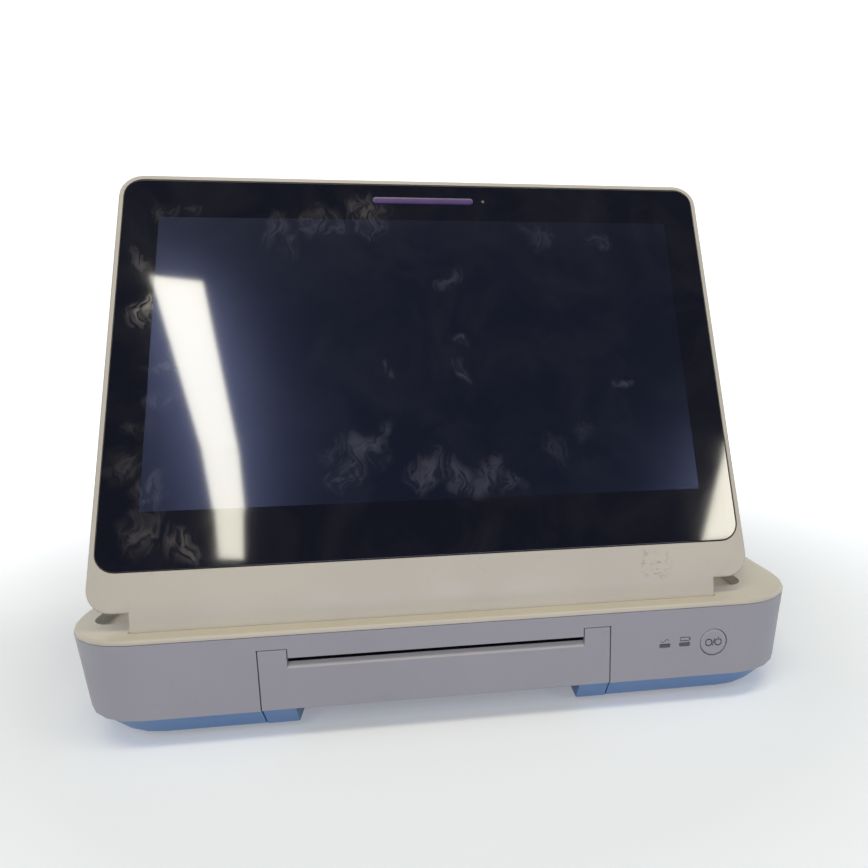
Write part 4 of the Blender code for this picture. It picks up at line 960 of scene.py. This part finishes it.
class MONITOR_OT_rear_connectors(BuildOperator):
    """Mains inlet with its blades, network and USB sockets with their contacts, and earth post"""
    bl_idname = "monitor.rear_connectors"
    bl_label = "Rear connectors"

    def execute(self, context):
        moulded_copy("mains_inlet_shell", "mains_inlet", "black", edge=0.4 * MM)
        moulded_copy("earth_post_stud", "earth_post", "steel", edge=0.25 * MM)
        moulded_copy("network_socket_shield", "network_socket", "steel", edge=0.1 * MM)
        moulded_copy("usb_socket_shield", "usb_socket", "steel", edge=0.1 * MM)
        # The blades' middles across and up from the inlet's, and half their width and height
        blade_places = ((-7.0, -2.0), (0.0, 2.6), (7.0, -2.0))
        half_width, half_height, margin = 1.0 * MM, 2.6 * MM, 2.1 * MM
        low, high, middle, _ = box_of("mains_inlet")
        blades = []
        for across, up in blade_places:
            x, z = middle[0] + across * MM, middle[2] + up * MM
            blades.append(box_mesh((x - half_width, low[1] + 2.7 * MM, z - half_height),
                                   (x + half_width, high[1] - 3.5 * MM, z + half_height)))
        add_piece("mains_inlet_blades", joined(blades), "steel")
        ends = [(x, high[1], middle[2]) for x in (low[0] + margin, high[0] - margin)]
        add_screws("mains_inlet_screws", ends, (0, 1, 0), 1.7 * MM, 0.7 * MM)
        low, high, middle, _ = box_of("network_socket")
        pitch, half_width, wall = 1.02 * MM, 0.2 * MM, 1.1 * MM
        contacts = [box_mesh((x - half_width, low[1] + 4 * MM, high[2] - 3.6 * MM),
                             (x + half_width, high[1] - 2.5 * MM, high[2] - 3.2 * MM))
                    for x in middle[0] + (np.arange(8) - 3.5) * pitch]
        add_piece("network_contacts", joined(contacts), "gold")
        insert = box_mesh((low[0] + wall, low[1] + 2.8 * MM, low[2] + wall),
                          (high[0] - wall, low[1] + 5.5 * MM, high[2] - wall))
        add_piece("network_insert", insert, "black")
        low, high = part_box("usb_socket")
        tongue = box_mesh((low.x + 2.0 * MM, low.y + 2.8 * MM, high.z - 3.2 * MM),
                          (high.x - 2.0 * MM, high.y - 1.2 * MM, high.z - 1.6 * MM))
        add_piece("usb_tongue", tongue, "nylon")
        return {"FINISHED"}


class MONITOR_OT_fasteners(BuildOperator):
    """Screws under the base, on the battery door and behind the display, and the speaker's cone"""
    bl_idname = "monitor.fasteners"
    bl_label = "Screws and speaker"

    def execute(self, context):
        under = (0, 0, -1)
        low, _, middle, half = box_of("bottom_tray")
        across, along, wider = half[0] - 44 * MM, half[1] - 17 * MM, 24 * MM
        offsets = [(sx * across, sy * along) for sx in (-1, 1) for sy in (-1, 1)]
        offsets += [(sx * (across + wider), 0) for sx in (-1, 1)]
        places = [(middle[0] + x, middle[1] + y, low[2]) for x, y in offsets]
        add_screws("bottom_tray_screws", places, under, 2.8 * MM, 0.9 * MM)
        low, high, middle, _ = box_of("battery_door")
        margin = 5 * MM
        places = [(middle[0], y, low[2]) for y in (low[1] + margin, high[1] - margin)]
        add_screws("battery_door_screws", places, under, 2.2 * MM, 0.8 * MM)
        add_screws("display_rear_screws", rear_screw_places(), -OFF_SCREEN, 2.4 * MM, 0.8 * MM,
                   "display")
        low, high, middle, half = box_of("speaker")
        rim, height, magnet, cone = half[0], high[2] - low[2], 0.62 * half[0], 0.06
        # Downwards: dust cap, cone, rolled surround and rim, then the basket and the magnet.
        profile = [(0.26 * rim * math.sin(a), height * (0.20 + cone * (1 - math.cos(a))))
                   for a in np.linspace(0, math.pi / 2, 6)]
        profile += [(0.76 * rim, cone * height)]
        profile += [(0.84 * rim - r, max(cone * height - h, 0))
                    for r, h in arc((0, 0), 0.08 * rim, 0, 180, 9)]
        profile += [(0.94 * rim, 0), (rim, 0), (rim, 0.16 * height), (magnet, 0.5 * height),
                    (magnet, height), (0, height)]
        unit = turned_mesh(profile, (middle[0], middle[1], low[2]), (0, 0, 1))
        add_piece("speaker_unit", unit, "black", replaced=("speaker",), sharp=40)
        return {"FINISHED"}


class MONITOR_OT_paper(BuildOperator):
    """Folded pack of chart paper in the drawer"""
    bl_idname = "monitor.paper"
    bl_label = "Paper pack"

    def execute(self, context):
        low, high, middle, half = box_of("paper_pack")
        folds = sizes().fold_count
        pitch = (high[2] - low[2]) / folds
        sheet, bulge = 0.72 * pitch, 0.9
        reach = half[1] - pitch / 2
        line = []
        # The path runs to and fro: each layer is straight, and each end turns in a half circle.
        for layer in range(folds):
            z = low[2] + (layer + 0.5) * pitch
            way = 1 if layer % 2 else -1
            line += [(middle[1] - way * reach * s, z) for s in (1, 0.5, 0, -0.5, -1)]
            if layer < folds - 1:
                line += [(middle[1] + way * (reach + x * bulge), z + pitch / 2 + up)
                         for x, up in arc((0, 0), pitch / 2, -45, 45, 3)]
        mesh = band_mesh(line, sheet, (low[0], high[0]), (0, 0, 0),
                         across=(0, 1, 0), up=(0, 0, 1), outward=(1, 0, 0))
        add_piece("chart_paper_pack", mesh, "paper", "paper_drawer", ("paper_pack",))
        return {"FINISHED"}


# Looks of the CAD nodes that keep their own form
CARRIED_OVER = {
    "black": ("paper_bay", "power_switch"),
    "ceramic": ("print_head",),
    "steel": ("print_head_bracket", "printer_motor", "idler_pin", "hinge_bracket_left",
              "hinge_bracket_right", "hinge_shaft_left", "hinge_shaft_right", "platen_shaft"),
    "board": ("main_board", "control_board", "display_board"),
    "aluminium": ("power_supply",),
    "wrap": ("battery_pack",),
    "screen": ("lcd_panel",),
    "rubber": ("platen_rubber",),
    "nylon": ("platen_gear", "idler_gear", "motor_pinion"),
}


class MONITOR_OT_small_parts(BuildOperator):
    """Drawer tray, feet, and the materials of the CAD pieces that keep their own form"""
    bl_idname = "monitor.small_parts"
    bl_label = "Carried-over pieces"

    def execute(self, context):
        for look, nodes in CARRIED_OVER.items():
            for node in nodes:
                dress(frame["nodes"][node].data, look)
        moulded_copy("drawer_tray_moulding", "drawer_tray", "black", "paper_drawer", 0.25 * MM)
        for place in ("front_left", "front_right", "rear_left", "rear_right"):
            moulded_copy("rubber_foot_" + place, "foot_" + place, "rubber", edge=0.4 * MM)
        return {"FINISHED"}


def lamp(name, place, target, size, size_y, power, tint):
    """A soft rectangular lamp that faces a target; size_y runs towards +Y where it faces down."""
    data = bpy.data.lights.new(name, "AREA")
    data.shape = "RECTANGLE"
    data.size, data.size_y = size, size_y
    data.energy = power
    data.color = tint
    made = linked(name, data)
    made.location = place
    made.rotation_euler = (Vector(target) - Vector(place)).to_track_quat("-Z", "Y").to_euler()
    return made


def ceiling_strip(name, start, end, width, brightness):
    """A row of ceiling panels between two (x, y) places, facing down; brightness is radiance."""
    height = 2.0
    length = math.dist(start, end)
    place = ((start[0] + end[0]) / 2, (start[1] + end[1]) / 2, height)
    power = brightness * math.pi * width * length
    strip = lamp(name, place, (place[0], place[1], 0), width, length, power, (1, 0.96, 0.82))
    strip.rotation_euler = (0, 0, math.atan2(end[0] - start[0], start[1] - end[1]))


# Lamps: name, place, size, size_y, watts and tint; then the ceiling's strips: name, both ends'
# (x, y), width and brightness
LAMPS = (
    ("overhead_warm_lamp", (0.1, -0.62, 2.1), 2.4, 0.45, 20.5, (1, 0.92, 0.70)),
    ("front_window_lamp", (0.2, -3.2, 0.66), 2.6, 0.5, 30, (0.68, 0.72, 1)),
    ("left_side_lamp", (-2.0, 0.2, 0.7), 1.0, 1.0, 4, (0.75, 0.85, 1.0)),
    ("rear_lamp", (-0.6, 2.8, 1.7), 2.2, 1.0, 22, (1, 0.98, 0.95)),
    ("right_side_lamp", (2.0, 0.2, 0.7), 1.0, 1.0, 6, (0.66, 0.82, 1.0)),
)
STRIPS = (
    ("ceiling_strip_near", (-0.974, -1.50), (-1.149, -2.67), 0.19, 20.5),
    ("ceiling_strip_middle", (-1.149, -2.67), (-1.286, -3.33), 0.19, 20),
    ("ceiling_strip_far", (-1.286, -3.33), (-1.47, -4.05), 0.17, 18),
    ("ceiling_strip_right", (2.03, -2.70), (2.42, -4.16), 0.33, 20),
)


def add_sweep():
    """The sweep's profile is a level floor, a quarter circle, then an upright wall."""
    front, side, bend, wall_y, top = -7.0, 6, 0.8, 2.6, 3.2
    profile = [(front, 0.0), (wall_y - bend, 0.0)]
    profile += arc((wall_y - bend, bend), bend, -90, 0, 24)[1:]
    profile += [(wall_y, top)]
    rows = [[(x, y, z) for x in np.linspace(-side, side, 13)] for y, z in profile]
    mesh = shell_mesh(rows, caps=False, wrap_points=False)
    floor = bpy.context.scene.monitor_colours.floor
    mesh.materials.append(studio_paper("seamless_paper", floor, linear("7C8596")))
    mesh.shade_smooth()
    linked("studio_sweep", mesh)


def add_air():
    """Dim air to the object and in its mirrors, white to the eye."""
    world = bpy.data.worlds.new("studio_air")
    world.use_nodes = True
    tree = world.node_tree
    air = tree.nodes["Background"]
    fill(tree, air, {"Color": (0.93, 0.96, 1.0), "Strength": 0.13})
    white = add_node(tree, "ShaderNodeBackground", {"Color": (1, 1, 1), "Strength": 1.0})[0]
    seen = add_node(tree, "ShaderNodeLightPath", {})["Is Camera Ray"]
    both = add_node(tree, "ShaderNodeMixShader", {0: seen, 1: air.outputs[0], 2: white})[0]
    fill(tree, tree.nodes["World Output"], {"Surface": both})
    bpy.context.scene.world = world


def add_camera():
    """The camera that was fitted to the view: its place in metres, its turn in degrees, and its
    focal length and the picture's centre in pixels."""
    place, yaw_pitch_roll = (-0.0118, -0.4364, 0.1834), (7.03, 9.43, -0.85)
    frame_width, focal, centre_x, centre_y = 868, 595.0, 498.4, 461.2
    sensor = 36
    data = bpy.data.cameras.new("camera")
    camera = linked("camera", data)
    yaw, pitch, roll = (math.radians(angle) for angle in yaw_pitch_roll)
    ahead = np.array([math.sin(yaw) * math.cos(pitch), math.cos(yaw) * math.cos(pitch),
                      -math.sin(pitch)])
    level_right = np.array([math.cos(yaw), -math.sin(yaw), 0])
    level_up = np.cross(level_right, ahead)
    right = math.cos(roll) * level_right + math.sin(roll) * level_up
    up = -math.sin(roll) * level_right + math.cos(roll) * level_up
    turn = Matrix(np.column_stack([right, up, -ahead]).tolist()).to_4x4()
    camera.matrix_world = Matrix.Translation(place) @ turn
    data.sensor_width = sensor
    data.lens = focal / frame_width * sensor
    data.shift_x = -(centre_x - frame_width / 2) / frame_width
    data.shift_y = (centre_y - frame_width / 2) / frame_width
    data.clip_start = 0.01
    bpy.context.scene.camera = camera


class MONITOR_OT_stage(BuildOperator):
    """Pale seamless sweep, soft lamps and the camera"""
    bl_idname = "monitor.stage"
    bl_label = "Studio"

    def execute(self, context):
        add_sweep()
        add_air()
        target = (0, 0, 0.12)
        for name, place, size, size_y, power, tint in LAMPS:
            lamp(name, place, target, size, size_y, power, tint)
        for strip in STRIPS:
            ceiling_strip(*strip)
        add_camera()
        bpy.context.scene.view_settings.view_transform = "Standard"
        return {"FINISHED"}


# The operators run in the order in which they stand above.
BUILD_ORDER = tuple(BuildOperator.__subclasses__())


class MONITOR_PT_panel(Panel):
    """Lists the sizes, the colours and the operators"""
    bl_idname = "MONITOR_PT_panel"
    bl_label = "Monitor"
    bl_space_type = "VIEW_3D"
    bl_region_type = "UI"
    bl_category = "Monitor"

    def draw(self, context):
        layout = self.layout
        for group in (context.scene.monitor_sizes, context.scene.monitor_colours):
            column = layout.column()
            for name in group.bl_rna.properties.keys():
                if name not in ("rna_type", "name"):
                    column.prop(group, name)
        for step in BUILD_ORDER:
            layout.operator(step.bl_idname)


CLASSES = (MonitorSizes, MonitorColours, *BUILD_ORDER, MONITOR_PT_panel)


def register():
    for item in CLASSES:
        bpy.utils.register_class(item)
    bpy.types.Scene.monitor_sizes = PointerProperty(type=MonitorSizes)
    bpy.types.Scene.monitor_colours = PointerProperty(type=MonitorColours)


def unregister():
    del bpy.types.Scene.monitor_colours
    del bpy.types.Scene.monitor_sizes
    for item in reversed(CLASSES):
        bpy.utils.unregister_class(item)


def main():
    register()
    for step in BUILD_ORDER:
        family, call = step.bl_idname.split(".")
        getattr(getattr(bpy.ops, family), call)()


if __name__ == "__main__":
    main()
